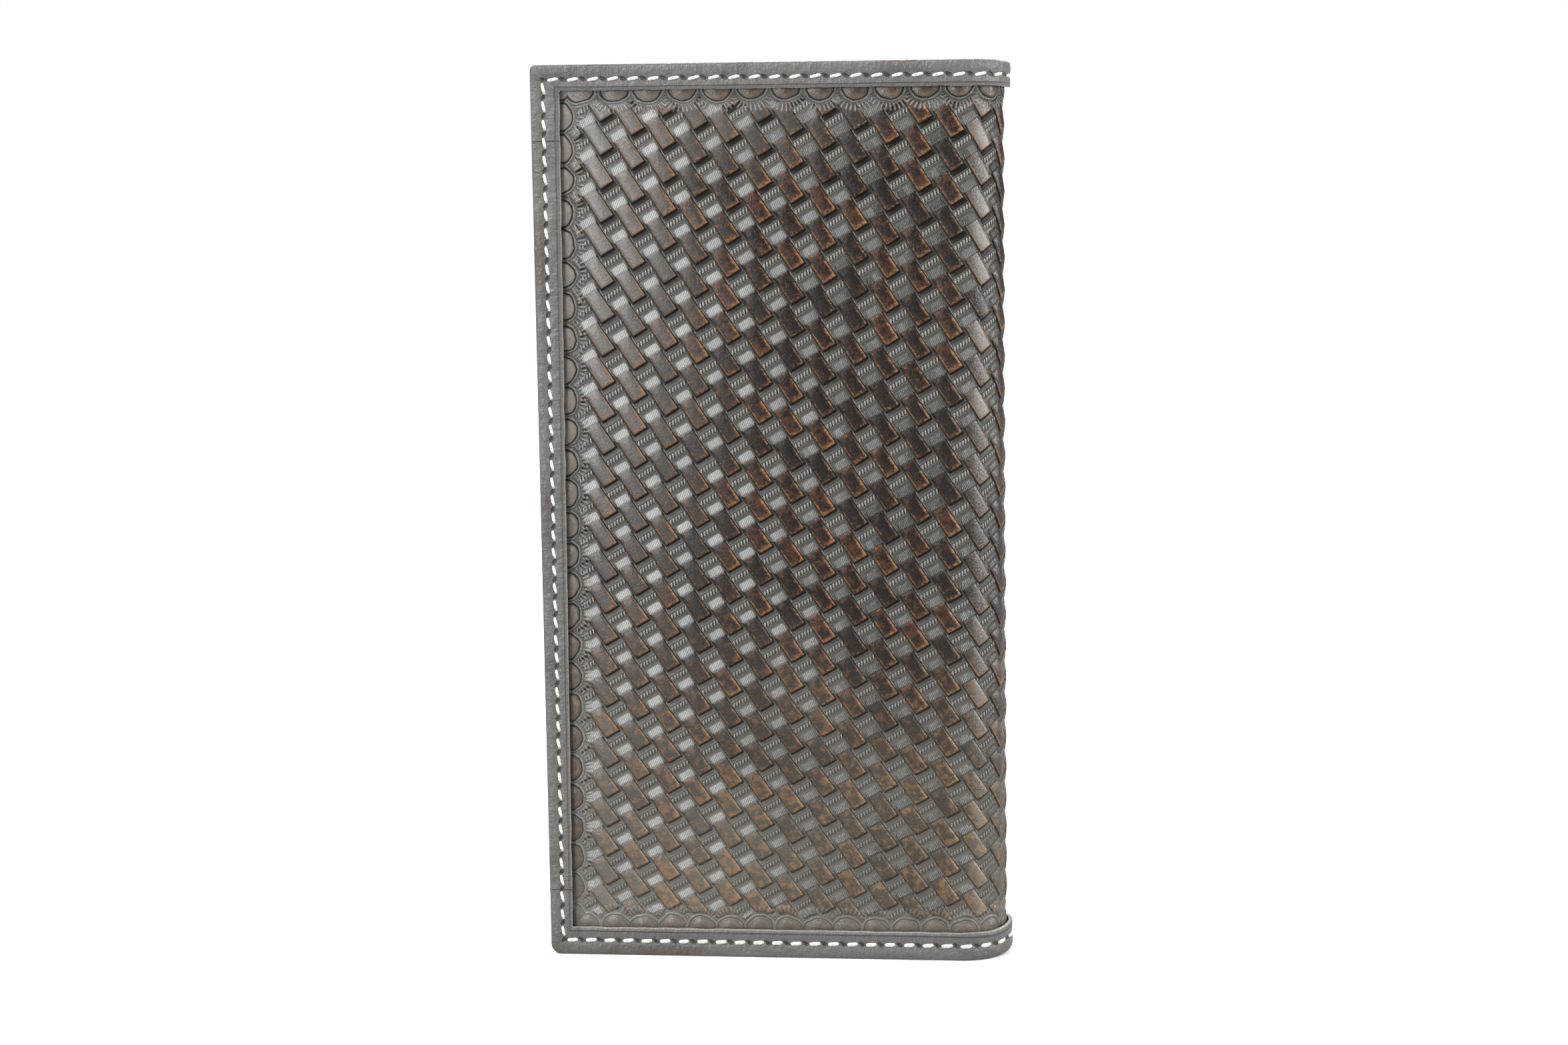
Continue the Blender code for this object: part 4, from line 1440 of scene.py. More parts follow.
@dataclass(frozen=True)
class PaleFloor(Finish):
    """White studio floor that keeps the wallet's shadow."""

    lift: float = 0.30
    near: float = 250.0
    far: float = 700.0

    def lay_out(self, bench: NodeBench, shader: bpy.types.Node) -> None:
        """Lay out the floor: matt white, lifted to white for the camera alone."""
        place = self.object_place(bench)
        tone = bench.noise(place, 0.004, 2.0, 0.5)
        white = bench.mix(tone, (0.88, 0.88, 0.88, 1), (0.92, 0.92, 0.92, 1))
        shader.inputs["Roughness"].default_value = 0.9
        rays = bench.node("ShaderNodeLightPath")
        seen = bench.most(rays.outputs["Is Camera Ray"], rays.outputs["Is Transmission Ray"])
        bench.wire(bench.mix(seen, (0.45, 0.45, 0.45, 1), white), shader.inputs["Base Color"])
        shader.inputs["Emission Color"].default_value = (1, 1, 1, 1)
        length = bench.node("ShaderNodeVectorMath", operation="LENGTH")
        bench.wire(place, length.inputs[0])
        lift = bench.span(length.outputs["Value"], self.near, self.far, self.lift, 1.0)
        bench.wire(bench.times(seen, lift), shader.inputs["Emission Strength"])


# ---------------------------------------------------------------------------
# Making and placing pieces
# ---------------------------------------------------------------------------


def finish_mesh(name: str, mesh: bmesh.types.BMesh, finish: Finish, sharp: float) -> bpy.types.Object:
    """Turn a mesh in metres into a named object of the scene.

    Args:
        name: The piece's name.
        mesh: Its mesh, which is freed.
        finish: Its finish.
        sharp: Angle in degrees past which an edge stays sharp.

    Returns:
        The object.
    """
    if mesh.calc_volume(signed=True) < 0:
        bmesh.ops.reverse_faces(mesh, faces=mesh.faces[:])
    data = bpy.data.meshes.new(name)
    mesh.to_mesh(data)
    mesh.free()
    data.materials.append(finish.material())
    data.shade_smooth()
    data.set_sharp_from_angle(angle=math.radians(sharp))
    piece = bpy.data.objects.new(name, data)
    bpy.context.scene.collection.objects.link(piece)
    log.info("%s: %d faces", name, len(data.polygons))
    return piece


def bend_with_spine(piece: bpy.types.Object, side: Side) -> None:
    """Bake a piece's transform into its mesh; the ends of the spine's bend are found, but no bend is set
    up.

    Args:
        piece: The piece.
        side: The half that it belongs to.
    """
    margin = 1.2
    start = PATTERN.folded(side.value * margin, 0.0, 0.0)
    end = PATTERN.folded(side.value * (PATTERN.fold_length - margin), 0.0, 0.0)
    start.z = end.z = 0.0
    side.body
    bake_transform(piece)


def slice_mesh(mesh: bmesh.types.BMesh, faces: Iterable, point: tuple, normal: tuple,
               cut_off: bool = False) -> None:
    """Cut faces along a plane.

    Args:
        mesh: The mesh.
        faces: The faces to cut.
        point: A point of the plane.
        normal: The plane's direction.
        cut_off: Whether what lies on the side of the normal goes.
    """
    faces = list(faces)
    # dict keys keep their order, which a set's don't from run to run
    edges = dict.fromkeys(edge for face in faces for edge in face.edges)
    verts = dict.fromkeys(vert for face in faces for vert in face.verts)
    bmesh.ops.bisect_plane(mesh, geom=faces + list(edges) + list(verts), plane_co=point,
                           plane_no=normal, clear_outer=cut_off)


@dataclass
class StampedCover:
    """One half of the stamped cover leather, from the spine's middle line."""

    side: Side
    finish: Finish
    thickness: float = 1.3
    fold_step: float = 1.25
    wobble: float = 0.28
    wobble_size: float = 26.0
    stamp_drift: float = 0.3

    def build(self) -> bpy.types.Object:
        """Build and fold this half.

        Returns:
            The piece.
        """
        mesh = self._grid()
        self._trim(mesh)
        self._emboss(mesh)
        self._close(mesh)
        self._fold(mesh)
        piece = finish_mesh(f"{self.side.word}_stamped_cover", mesh, self.finish, 75.0)
        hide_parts(f"{self.side.word}_cover_leather", "spine_leather")
        bend_with_spine(piece, self.side)
        return piece

    def _ends(self) -> tuple:
        """Least and greatest `right` of this half."""
        far = PATTERN.open_edge - PATTERN.leather_inset
        return (-far, 0.0) if self.side is Side.FRONT else (0.0, far)

    def _grid(self) -> bmesh.types.BMesh:
        """A flat grid whose lines follow the edges of the straps."""
        low, high = self._ends()
        corners = [STAMP.grid_point(right, up) for right in (low, high)
                   for up in (0.0, PATTERN.height)]
        spread = [(min(values) - 9, max(values) + 9) for values in zip(*corners)]
        across = STAMP.cut_lines(STAMP.lines_across, STAMP.column, STAMP.across_start, *spread[0])
        down = STAMP.cut_lines(STAMP.lines_down, STAMP.row, STAMP.down_start, *spread[1])
        mesh = bmesh.new()
        columns, rows = len(across) - 1, len(down) - 1
        bmesh.ops.create_grid(mesh, x_segments=columns, y_segments=rows, size=0.5)
        stamp = mesh.verts.layers.float_vector.new("stamp")
        for vert in mesh.verts:
            i = round((vert.co.x + 0.5) * columns)
            j = round((vert.co.y + 0.5) * rows)
            vert[stamp] = (across[i], down[j], 0.0)
            right, up = STAMP.sheet_point(across[i], down[j])
            place = Vector((right, up, 0.0)) / self.wobble_size
            drift = noise.noise_vector(place) * self.wobble
            vert.co = (-(right + drift.x), 0.0, STAMP.settled(up) + drift.y)
        return mesh

    def _trim(self, mesh: bmesh.types.BMesh) -> None:
        """Cut the grid to the outline of this half."""
        sign = self.side.value
        far = PATTERN.open_edge - PATTERN.leather_inset
        low, high = PATTERN.leather_inset, PATTERN.height - PATTERN.leather_inset
        for point, normal in (((0, 0, 0), (-sign, 0, 0)), ((sign * far, 0, 0), (sign, 0, 0)),
                              ((0, 0, low), (0, 0, -1)), ((0, 0, high), (0, 0, 1))):
            slice_mesh(mesh, mesh.faces, point, normal, cut_off=True)

    def _emboss(self, mesh: bmesh.types.BMesh) -> None:
        """Press the stamps into the face."""
        stamp = mesh.verts.layers.float_vector["stamp"]
        border = mesh.verts.layers.float_vector.new("border")
        for vert in mesh.verts:
            across, down, _ = vert[stamp]
            drift = noise.noise_vector(Vector((vert.co.x, vert.co.z, 21.0)) * 0.12) * self.stamp_drift
            right, up = drift.x - vert.co.x, drift.y + vert.co.z
            vert[border] = (right, up, 0.0)
            height = BORDER.height(STAMP.weave_height(across, down), right, up)
            uneven = noise.noise(Vector((vert.co.x, vert.co.z, 7.0)) * 0.35) * 0.05
            vert.co.y = uneven + 0.05 - height

    def _close(self, mesh: bmesh.types.BMesh) -> None:
        """Give the leather its cut edges and its inner face."""
        rim = [edge for edge in mesh.edges if edge.is_boundary]
        grown = bmesh.ops.extrude_edge_only(mesh, edges=rim)["geom"]
        for item in grown:
            if isinstance(item, bmesh.types.BMVert):
                item.co.y = self.thickness
        loop = [item for item in grown if isinstance(item, bmesh.types.BMEdge) and item.is_boundary]
        bmesh.ops.edgeloop_fill(mesh, edges=loop)
        station = self.fold_step
        while station < PATTERN.fold_length + 0.5:
            flat_faces = [f for f in mesh.faces if abs(f.normal.y) > 0.9 and
                          f.calc_center_median().y > self.thickness - 0.01]
            slice_mesh(mesh, flat_faces, (self.side.value * station, 0, 0), (1, 0, 0))
            station += self.fold_step

    def _fold(self, mesh: bmesh.types.BMesh) -> None:
        """Write the UV maps and fold the leather round the spine."""
        stamp = mesh.verts.layers.float_vector["stamp"]
        stamp_uv = mesh.loops.layers.uv.new("stamp")
        sheet_uv = mesh.loops.layers.uv.new("sheet")
        border = mesh.verts.layers.float_vector["border"]
        border_uv = mesh.loops.layers.uv.new("border")
        for face in mesh.faces:
            for loop in face.loops:
                loop[stamp_uv].uv = loop.vert[stamp].xy
                loop[border_uv].uv = loop.vert[border].xy
                loop[sheet_uv].uv = (-loop.vert.co.x, loop.vert.co.z)
        sign = self.side.value
        for vert in mesh.verts:
            along = sign * max(sign * vert.co.x, OWN_HALF)
            vert.co = PATTERN.folded(along, vert.co.y, vert.co.z)


@dataclass(frozen=True)
class SeamRule:
    """Where the seam round the bound edges runs, and how it is spaced.

    The needle holes lie at whole numbers, counted from the spine's middle line at the
    top round to the spine at the bottom, and a hole lies at each corner.
    """

    top_inset: float = 2.9
    side_inset: float = 2.7
    bottom_inset: float = 3.2
    pitch: float = 3.8
    top_holes: int = 24
    side_holes: int = 49
    bottom_holes: int = 25
    length: float = 2.8
    slant: float = 0.28
    bottom_slant: float = 0.10
    thread_width: float = 0.66
    bottom_width: float = 0.84

    @property
    def leg(self) -> float:
        """Length of the seam along the top or the bottom."""
        return PATTERN.open_edge - self.side_inset

    @property
    def side_leg(self) -> float:
        """Length of the seam along the open side."""
        return PATTERN.height - self.top_inset - self.bottom_inset

    @property
    def holes(self) -> int:
        """Number of the last hole."""
        return self.top_holes + self.side_holes + self.bottom_holes

    def inset(self, segment: int, share: float) -> float:
        """Distance of the seam from the edge in a part of the edge's run."""
        stops = (self.top_inset, self.top_inset, self.side_inset, self.side_inset, self.bottom_inset)
        goals = (self.top_inset, self.side_inset, self.side_inset, self.bottom_inset, self.bottom_inset)
        return stops[segment] + (goals[segment] - stops[segment]) * share

    def number(self, segment: int, along: float, up: float) -> float:
        """The hole number at a point of the seam's line.

        Args:
            segment: Part of the edge's run, as in EdgeRun.
            along: Distance from the spine's middle line.
            up: Height.

        Returns:
            The number, with fractions between holes.
        """
        if segment == 0:
            return self.top_holes * along / self.leg
        if segment == 4:
            return self.holes - self.bottom_holes * along / self.leg
        down = (PATTERN.height - self.top_inset - up) / self.side_leg
        return self.top_holes + self.side_holes * min(max(down, 0.0), 1.0)

    def point(self, number: float, off: float, over: float) -> tuple:
        """The (along, up) at a hole number.

        Args:
            number: The hole number, with fractions between holes.
            off: Distance further along the seam.
            over: Distance further in from the edge.

        Returns:
            The point on the pattern.
        """
        if number < self.top_holes:
            along = self.leg * number / self.top_holes
            return along + off, PATTERN.height - self.top_inset - over
        number -= self.top_holes
        if number < self.side_holes:
            up = PATTERN.height - self.top_inset - self.side_leg * number / self.side_holes
            return PATTERN.open_edge - self.side_inset - over, up - off
        number -= self.side_holes
        return self.leg * (1 - number / self.bottom_holes) - off, self.bottom_inset + over


SEAM = SeamRule()


@dataclass(frozen=True)
class EdgeRun:
    """The run round a half's bound edges: top, open side and bottom.

    `run` is the distance along the outer edge from the spine's middle line at the top.
    """

    top_corner: float = 1.1
    bottom_corner: float = 2.2
    corner_reach: float = 6.5
    corner_steps: int = 7
    step: float = 0.9

    def stations(self) -> list:
        """(segment, share, run) of each section, from the top to the bottom.

        Returns:
            A list of tuples. The segment is 0 top, 1 top corner, 2 side, 3 bottom
            corner, 4 bottom; the share runs from 0 to 1 in it.
        """
        edge, height = PATTERN.open_edge, PATTERN.height
        lengths = (edge, self.top_corner, height, self.bottom_corner, edge)
        made = []
        run = 0.0
        for segment, length in enumerate(lengths):
            corner = segment % 2 == 1
            count = self.corner_steps if corner else round(length / self.step)
            for i in range(count):
                made.append((segment, i / count, run + (0 if corner else length * i / count)))
            run += 0 if corner else length
        made.append((4, 1.0, run))
        return made

    def point(self, segment: int, share: float, inset: float, growth: float = 0.0) -> tuple:
        """The (along, up) of a section's point at a distance in from the edge.

        Args:
            segment: Which part of the run.
            share: Place in that part.
            inset: Distance in from the outer edge.
            growth: Share of the way from the strip's plain width to its cut edge.

        Returns:
            The point on the pattern, for the front.
        """
        edge, height = PATTERN.open_edge, PATTERN.height
        wide = PATTERN.binding_width
        up_share = {0: 1.0, 1: 1.0, 2: 1 - share, 3: 0.0, 4: 0.0}[segment]
        sideways = inset + growth * (BORDER.side_inset(height * up_share) - wide)
        from_top = inset + growth * (BORDER.top_inset - wide)
        from_bottom = inset + growth * (BORDER.bottom_inset - wide)
        top = max(self.top_corner - inset, 0.3)
        bottom = max(self.bottom_corner - inset, 0.3)
        if segment in (1, 3):
            radius = top if segment == 1 else bottom
            centre_up = height - from_top - radius if segment == 1 else from_bottom + radius
            angle = math.radians(90 - 90 * share if segment == 1 else -90 * share)
            along = edge - sideways - radius + radius * math.cos(angle)
            return along, centre_up + radius * math.sin(angle)
        if segment == 2:
            start, stop = height - from_top - top, from_bottom + bottom
            up = self._eased(height * (1 - share), start, stop, height)
            return edge - sideways, up
        stop = edge - sideways - (top if segment == 0 else bottom)
        along = edge * (share if segment == 0 else 1 - share)
        if along > edge - self.corner_reach:
            part = (along - edge + self.corner_reach) / self.corner_reach
            along = edge - self.corner_reach + part * (stop - edge + self.corner_reach)
        return along, (height - from_top if segment == 0 else from_bottom)

    def _eased(self, up: float, start: float, stop: float, height: float) -> float:
        """Height of a side section, drawn in near the corners."""
        reach = self.corner_reach
        if up > height - reach:
            part = (up - height + reach) / reach
            return height - reach + part * (start - height + reach)
        if up < reach:
            return reach - (reach - up) / reach * (reach - stop)
        return up


EDGES = EdgeRun()
BINDING_JOINTS = (PATTERN.open_edge + 15.5, PATTERN.open_edge + PATTERN.height - 13.7)


@dataclass
class Binding:
    """The folded strip of thin leather round one half's edges."""

    side: Side
    finish: Finish
    rounding: float = 0.65
    waviness: float = 0.10

    def build(self) -> bpy.types.Object:
        """Build and fold the binding of this half.

        Returns:
            The piece.
        """
        stations = EDGES.stations()
        sample = self._profile(PATTERN.edge_leaf)
        mesh = bmesh.new()
        columns, rows = len(sample), len(stations) - 1
        bmesh.ops.create_grid(mesh, x_segments=columns, y_segments=rows, size=0.5)
        seam_uv = mesh.loops.layers.uv.new("seam")
        cut_uv = mesh.loops.layers.uv.new("cut")
        sheet_uv = mesh.loops.layers.uv.new("sheet")
        index = {vert: (round((vert.co.x + 0.5) * columns), round((vert.co.y + 0.5) * rows))
                 for vert in mesh.verts}
        widths = self._running_width(sample)
        insets = [SEAM.inset(segment, share) for segment, share, _ in stations]
        numbers = [SEAM.number(segment, *EDGES.point(segment, share, inset))
                   for (segment, share, _), inset in zip(stations, insets)]
        for face in mesh.faces:
            for loop in face.loops:
                i, j = index[loop.vert]
                inset = sample[i % columns][0]
                loop[seam_uv].uv = (numbers[j], inset - insets[j])
                loop[cut_uv].uv = (inset, 0.0)
                loop[sheet_uv].uv = (stations[j][2], widths[i])
        for vert, (i, j) in index.items():
            vert.co = self._place(i % columns, stations[j])
        bmesh.ops.remove_doubles(mesh, verts=mesh.verts[:], dist=1e-7)
        ends = [edge for edge in mesh.edges if edge.is_boundary]
        bmesh.ops.holes_fill(mesh, edges=ends, sides=0)
        bmesh.ops.recalc_face_normals(mesh, faces=mesh.faces[:])
        piece = finish_mesh(f"{self.side.word}_edge_binding", mesh, self.finish, 50.0)
        word = self.side.word
        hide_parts(f"{word}_binding_top", f"{word}_binding_side", f"{word}_binding_bottom",
                    "spine_binding_top", "spine_binding_bottom")
        bend_with_spine(piece, self.side)
        return piece

    def _profile(self, leaf: float) -> list:
        """The strip's section as (inset, depth) points, closed.

        Args:
            leaf: Depth of the innermost face.

        Returns:
            The points, from the outer cut edge round to where it starts again.
        """
        wide, thick = PATTERN.binding_width, PATTERN.binding_thickness
        outer = -PATTERN.leather_inset
        r = self.rounding
        points = [(wide, outer + 0.1), (wide - 0.1, outer)]
        points += [(inset, outer) for inset in (4.6, 4.0, 3.5, 3.1, 2.85, 2.65, 2.45, 2.2, 1.8, 1.3)]
        for i in range(5):
            angle = math.radians(90 * i / 4)
            points.append((r - r * math.sin(angle), outer + r - r * math.cos(angle)))
        wall_start, wall_end = outer + r, leaf - r
        points += [(0.0, wall_start + (wall_end - wall_start) * share) for share in (0.3, 0.7)]
        for i in range(5):
            angle = math.radians(90 * i / 4)
            points.append((r - r * math.cos(angle), leaf - r + r * math.sin(angle)))
        points += [(inset, leaf) for inset in (1.3, 1.8, 2.2, 2.45, 2.65, 2.85, 3.1, 3.5, 4.0, 4.6)]
        points += [(wide - 0.1, leaf), (wide, leaf - 0.1), (wide, leaf - thick)]
        points += [(thick, leaf - thick), (thick, outer + thick), (wide, outer + thick)]
        return points

    def _running_width(self, sample: Sequence) -> list:
        """Distance round the section to each of its points."""
        widths = [0.0]
        closed = list(sample) + [sample[0]]
        for (a, b), (c, d) in zip(closed, closed[1:]):
            widths.append(widths[-1] + math.hypot(c - a, d - b))
        return widths

    def _place(self, index: int, station: tuple) -> Vector:
        """A point of the strip on the closed wallet."""
        segment, share, run = station
        wide = PATTERN.binding_width
        edge_along = EDGES.point(segment, share, 1.5)[0]
        leaf = PATTERN.leaf_depth(edge_along)
        inset, depth = self._profile(leaf)[index]
        facing = -1 if depth < 0.5 else 1
        swell = noise.noise(Vector((run * 0.11, 3.0 * self.side.value, facing)))
        edge_wave = 0.16 * noise.noise(Vector((run * 0.25, 11.0, facing + 5)))
        growth = smooth_step(inset, 3.4, wide) if depth < 0.5 else 0.0
        if inset > wide - 0.6:
            inset += edge_wave
        if depth < -0.7 or depth > leaf - 0.3:
            groove = 0.18 * math.exp(-((inset - SEAM.inset(segment, share)) / 0.5) ** 2)
            puff = 0.10 * math.exp(-((inset - 1.5) / 0.8) ** 2)
            lift = self.waviness * swell + puff - groove
            joint = min(abs(run - at) for at in BINDING_JOINTS)
            lift -= 0.12 * math.exp(-(joint / 0.5) ** 2)
            depth += facing * lift * smooth_step(inset, 0.0, 0.8)
        along, up = EDGES.point(segment, share, inset, growth)
        return PATTERN.folded(self.side.value * max(along, OWN_HALF), depth, up)


@dataclass
class StitchRow:
    """A row of thread stitches that follows a path."""

    name: str
    finish: Finish
    length: float = SEAM.length
    width: float = SEAM.thread_width
    rings: int = 6
    sides: int = 6

    def lay(self, mesh: bmesh.types.BMesh, place: Callable) -> None:
        """Add one stitch.

        Args:
            mesh: The mesh of the whole row.
            place: Gives the point in metres for (along the stitch, over it, proud).
        """
        made = bmesh.ops.create_grid(mesh, x_segments=self.sides, y_segments=self.rings, size=0.5)
        uv = mesh.loops.layers.uv["thread"]
        verts = made["verts"]
        index = {vert: (round((vert.co.x + 0.5) * self.sides), round((vert.co.y + 0.5) * self.rings))
                 for vert in verts}
        faces = {face for vert in verts for face in vert.link_faces}
        for face in faces:
            for loop in face.loops:
                i, j = index[loop.vert]
                loop[uv].uv = (self.length * j / self.rings, i / self.sides)
        for vert, (i, j) in index.items():
            share = j / self.rings
            middle = 1 - abs(2 * share - 1) ** 3
            angle = 2 * math.pi * i / self.sides
            half = self.width / 2 * (0.35 + 0.65 * middle)
            proud = 0.16 * middle - 0.34 * (1 - middle)
            vert.co = place((share - 0.5) * self.length, half * math.cos(angle),
                            proud + half * 0.72 * math.sin(angle))
        bmesh.ops.remove_doubles(mesh, verts=verts, dist=1e-8)

    def start_mesh(self) -> bmesh.types.BMesh:
        """An empty mesh with the thread's UV map."""
        mesh = bmesh.new()
        mesh.loops.layers.uv.new("thread")
        return mesh

    def finished(self, mesh: bmesh.types.BMesh) -> bpy.types.Object:
        """Close the stitches and make the piece.

        Args:
            mesh: The mesh of the whole row, which is freed.

        Returns:
            The piece.
        """
        bmesh.ops.holes_fill(mesh, edges=[e for e in mesh.edges if e.is_boundary], sides=0)
        bmesh.ops.recalc_face_normals(mesh, faces=mesh.faces[:])
        return finish_mesh(self.name, mesh, self.finish, 70.0)


@dataclass
class EdgeSeam:
    """The seam of cream thread through one half's binding, on one face."""

    side: Side
    face: Face
    finish: Finish

    def build(self) -> bpy.types.Object:
        """Build the seam.

        Returns:
            The piece.
        """
        row = StitchRow(f"{self.side.word}_edge_seam_{self.face.value}", self.finish)
        mesh = row.start_mesh()
        for number in range(SEAM.holes):
            row.lay(mesh, self._placer(number))
        piece = row.finished(mesh)
        bend_with_spine(piece, self.side)
        return piece

    def _placer(self, number: int) -> Callable:
        """The placing of one stitch.

        Args:
            number: Number of the hole that the stitch starts from.

        Returns:
            A function from the stitch's own place to a point in metres.
        """
        uneven = noise.noise_vector(Vector((number * 0.73, self.side.value * 5.0, 2.0)))
        at_bottom = number >= SEAM.top_holes + SEAM.side_holes
        lean = SEAM.bottom_slant if at_bottom else SEAM.slant
        stout = SEAM.bottom_width / SEAM.thread_width if at_bottom else 1.0

        def place(length: float, over: float, proud: float) -> Vector:
            """A point of the stitch."""
            slant = lean * 2 * length / SEAM.length * (1 + 0.4 * uneven.x)
            drift = over * stout + slant + 0.1 * uneven.y
            along, up = SEAM.point(number + 0.5, length + 0.08 * uneven.z, drift)
            if self.face is Face.OUTSIDE:
                depth = -PATTERN.leather_inset + 0.16 - proud
            else:
                depth = PATTERN.leaf_depth(along) - 0.16 + proud
            return PATTERN.folded(self.side.value * max(along, OWN_HALF), depth, up)

        return place


@dataclass
class InsideSeam:
    """A seam of finer thread that holds pockets or the window inside a cover."""

    name: str
    side: Side
    lines: Sequence
    face_depth: Callable
    finish: Finish
    pitch: float = 3.1
    length: float = 2.3
    width: float = 0.5

    def build(self) -> bpy.types.Object:
        """Build and hang the seam.

        Returns:
            The piece.
        """
        row = StitchRow(self.name, self.finish, self.length, self.width)
        mesh = row.start_mesh()
        for start, end in self.lines:
            path = Vector(end) - Vector(start)
            count = max(round(path.length / self.pitch), 1)
            for i in range(count):
                middle = Vector(start) + path * ((i + 0.5) / count)
                row.lay(mesh, self._placer(middle, path.normalized()))
        piece = row.finished(mesh)
        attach(piece, self.side.body)
        return piece

    def _placer(self, middle: Vector, run: Vector) -> Callable:
        """The placing of one stitch.

        Args:
            middle: (along, up) of the stitch's middle.
            run: Direction of the seam.

        Returns:
            A function from the stitch's own place to a point in metres.
        """
        def place(length: float, over: float, proud: float) -> Vector:
            """A point of the stitch."""
            leaning = over + 0.2 * 2 * length / self.length
            along = middle.x + run.x * length - run.y * leaning
            up = middle.y + run.y * length + run.x * leaning
            depth = self.face_depth(middle.y) - 0.16 + proud
            return PATTERN.flat(self.side.value, along, depth, up)

        return place


@dataclass
class PocketSeams:
    """The seams of one cover's pocket stacks and of its card window."""

    side: Side
    finish: Finish
    top_gap: float = 2.0
    far_gap: float = 6.6
    window_gap: float = 2.6

    def build(self) -> None:
        """Build the seams of both stacks."""
        for word, top in zip(("upper", "lower"), POCKETS.stack_tops):
            floor = top - POCKETS.stack_height
            near = POCKETS.spine_end + POCKETS.seam_inset
            far = POCKETS.far_end - self.far_gap
            turn = floor + POCKETS.seam_inset
            lines = [((near, top - self.top_gap), (near, turn)), ((near, turn), (far, turn))]
            window = self.side is Side.FRONT and word == "lower"
            if window:
                lines += self._window_lines()

            def face(up: float, top: float = top, window: bool = window) -> float:
                """Depth of the sewn face at a height."""
                return POCKETS.window_face if window else POCKETS.face_at(top, up)

            name = f"{self.side.word}_{word}_pocket_seam"
            InsideSeam(name, self.side, lines, face, self.finish).build()

    def _window_lines(self) -> list:
        """The four lines round the window's opening."""
        away = self.window_gap
        left, right = POCKETS.window_sides[0] - away, POCKETS.window_sides[1] + away
        low, high = POCKETS.window_heights[0] - away, POCKETS.window_heights[1] + away
        corners = [(left, low), (right, low), (right, high), (left, high)]
        return list(zip(corners, corners[1:] + corners[:1]))


@dataclass
class LiningSheet:
    """One half of the cloth lining behind the stamped leather."""

    side: Side
    finish: Finish
    depth: float = 1.55
    thickness: float = 0.3
    columns: int = 46
    rows: int = 12
    crowding: float = 1.8

    def build(self) -> bpy.types.Object:
        """Build and fold the lining.

        Returns:
            The piece.
        """
        far = PATTERN.open_edge - PATTERN.leather_inset
        low, high = PATTERN.leather_inset, PATTERN.height - PATTERN.leather_inset
        mesh = bmesh.new()
        bmesh.ops.create_grid(mesh, x_segments=self.columns, y_segments=self.rows, size=0.5)
        for vert in mesh.verts:
            share = vert.co.x + 0.5
            along = far * share ** self.crowding
            vert.co = (along, self.depth, low + (high - low) * (vert.co.y + 0.5))
        grown = bmesh.ops.extrude_face_region(mesh, geom=mesh.faces[:])["geom"]
        for item in grown:
            if isinstance(item, bmesh.types.BMVert):
                item.co.y = self.depth + self.thickness
        sheet_uv = mesh.loops.layers.uv.new("sheet")
        for face in mesh.faces:
            for loop in face.loops:
                loop[sheet_uv].uv = (loop.vert.co.x, loop.vert.co.z)
        for vert in mesh.verts:
            vert.co = PATTERN.folded(self.side.value * max(vert.co.x, OWN_HALF), vert.co.y, vert.co.z)
        bmesh.ops.recalc_face_normals(mesh, faces=mesh.faces[:])
        piece = finish_mesh(f"{self.side.word}_lining_sheet", mesh, self.finish, 50.0)
        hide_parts(f"{self.side.word}_lining", "spine_lining")
        bend_with_spine(piece, self.side)
        return piece


@dataclass
class CarriedOver:
    """The CAD nodes that keep their own shape and only get a finish."""

    clear: Finish

    def dress(self) -> None:
        """Give each node that stays its material."""
        for name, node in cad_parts.items():
            if node.hide_render:
                continue
            finish = self._finish_of(name)
            for slot in node.material_slots:
                slot.material = finish.material()
            log.info("%s keeps its shape, finish %s", name, finish.name)

    def _finish_of(self, name: str) -> Finish:
        """The finish of a node, by what it is.

        Args:
            name: Name of the node.

        Returns:
            The finish.
        """
        if name == "id_window_sheet":
            return self.clear
        if name == "id_window_frame":
            return PocketLeather("window frame leather", CreasedEdge.WINDOW)
        if name.endswith("bill_panel"):
            return PocketLeather("bill panel leather", CreasedEdge.FREE_SIDE)
        index = int(name[-1]) - 1 + (3 if "lower" in name else 0)
        mouth = POCKETS.mouths()[index]
        return PocketLeather(f"pocket leather {index + 1}", CreasedEdge.MOUTH, mouth)


# ---------------------------------------------------------------------------
# Studio
# ---------------------------------------------------------------------------


@dataclass(frozen=True)
class Softbox:
    """A rectangular studio lamp that faces the wallet."""

    name: str
    azimuth: float
    elevation: float
    distance: float
    width: float
    height: float
    radiance: float

    def place(self) -> bpy.types.Object:
        """Put the lamp in the scene.

        Returns:
            The lamp's object.
        """
        a, e = math.radians(self.azimuth), math.radians(self.elevation)
        back = Vector((math.sin(a) * math.cos(e), -math.cos(a) * math.cos(e), math.sin(e)))
        lamp = bpy.data.lights.new(self.name, "AREA")
        lamp.shape = "RECTANGLE"
        lamp.size, lamp.size_y = self.width, self.height
        lamp.energy = self.radiance * math.pi * self.width * self.height
        holder = bpy.data.objects.new(self.name, lamp)
        holder.location = Vector((0, 0, 0.09)) + back * self.distance
        holder.rotation_euler = (-back).to_track_quat("-Z", "Y").to_euler()
        bpy.context.scene.collection.objects.link(holder)
        return holder


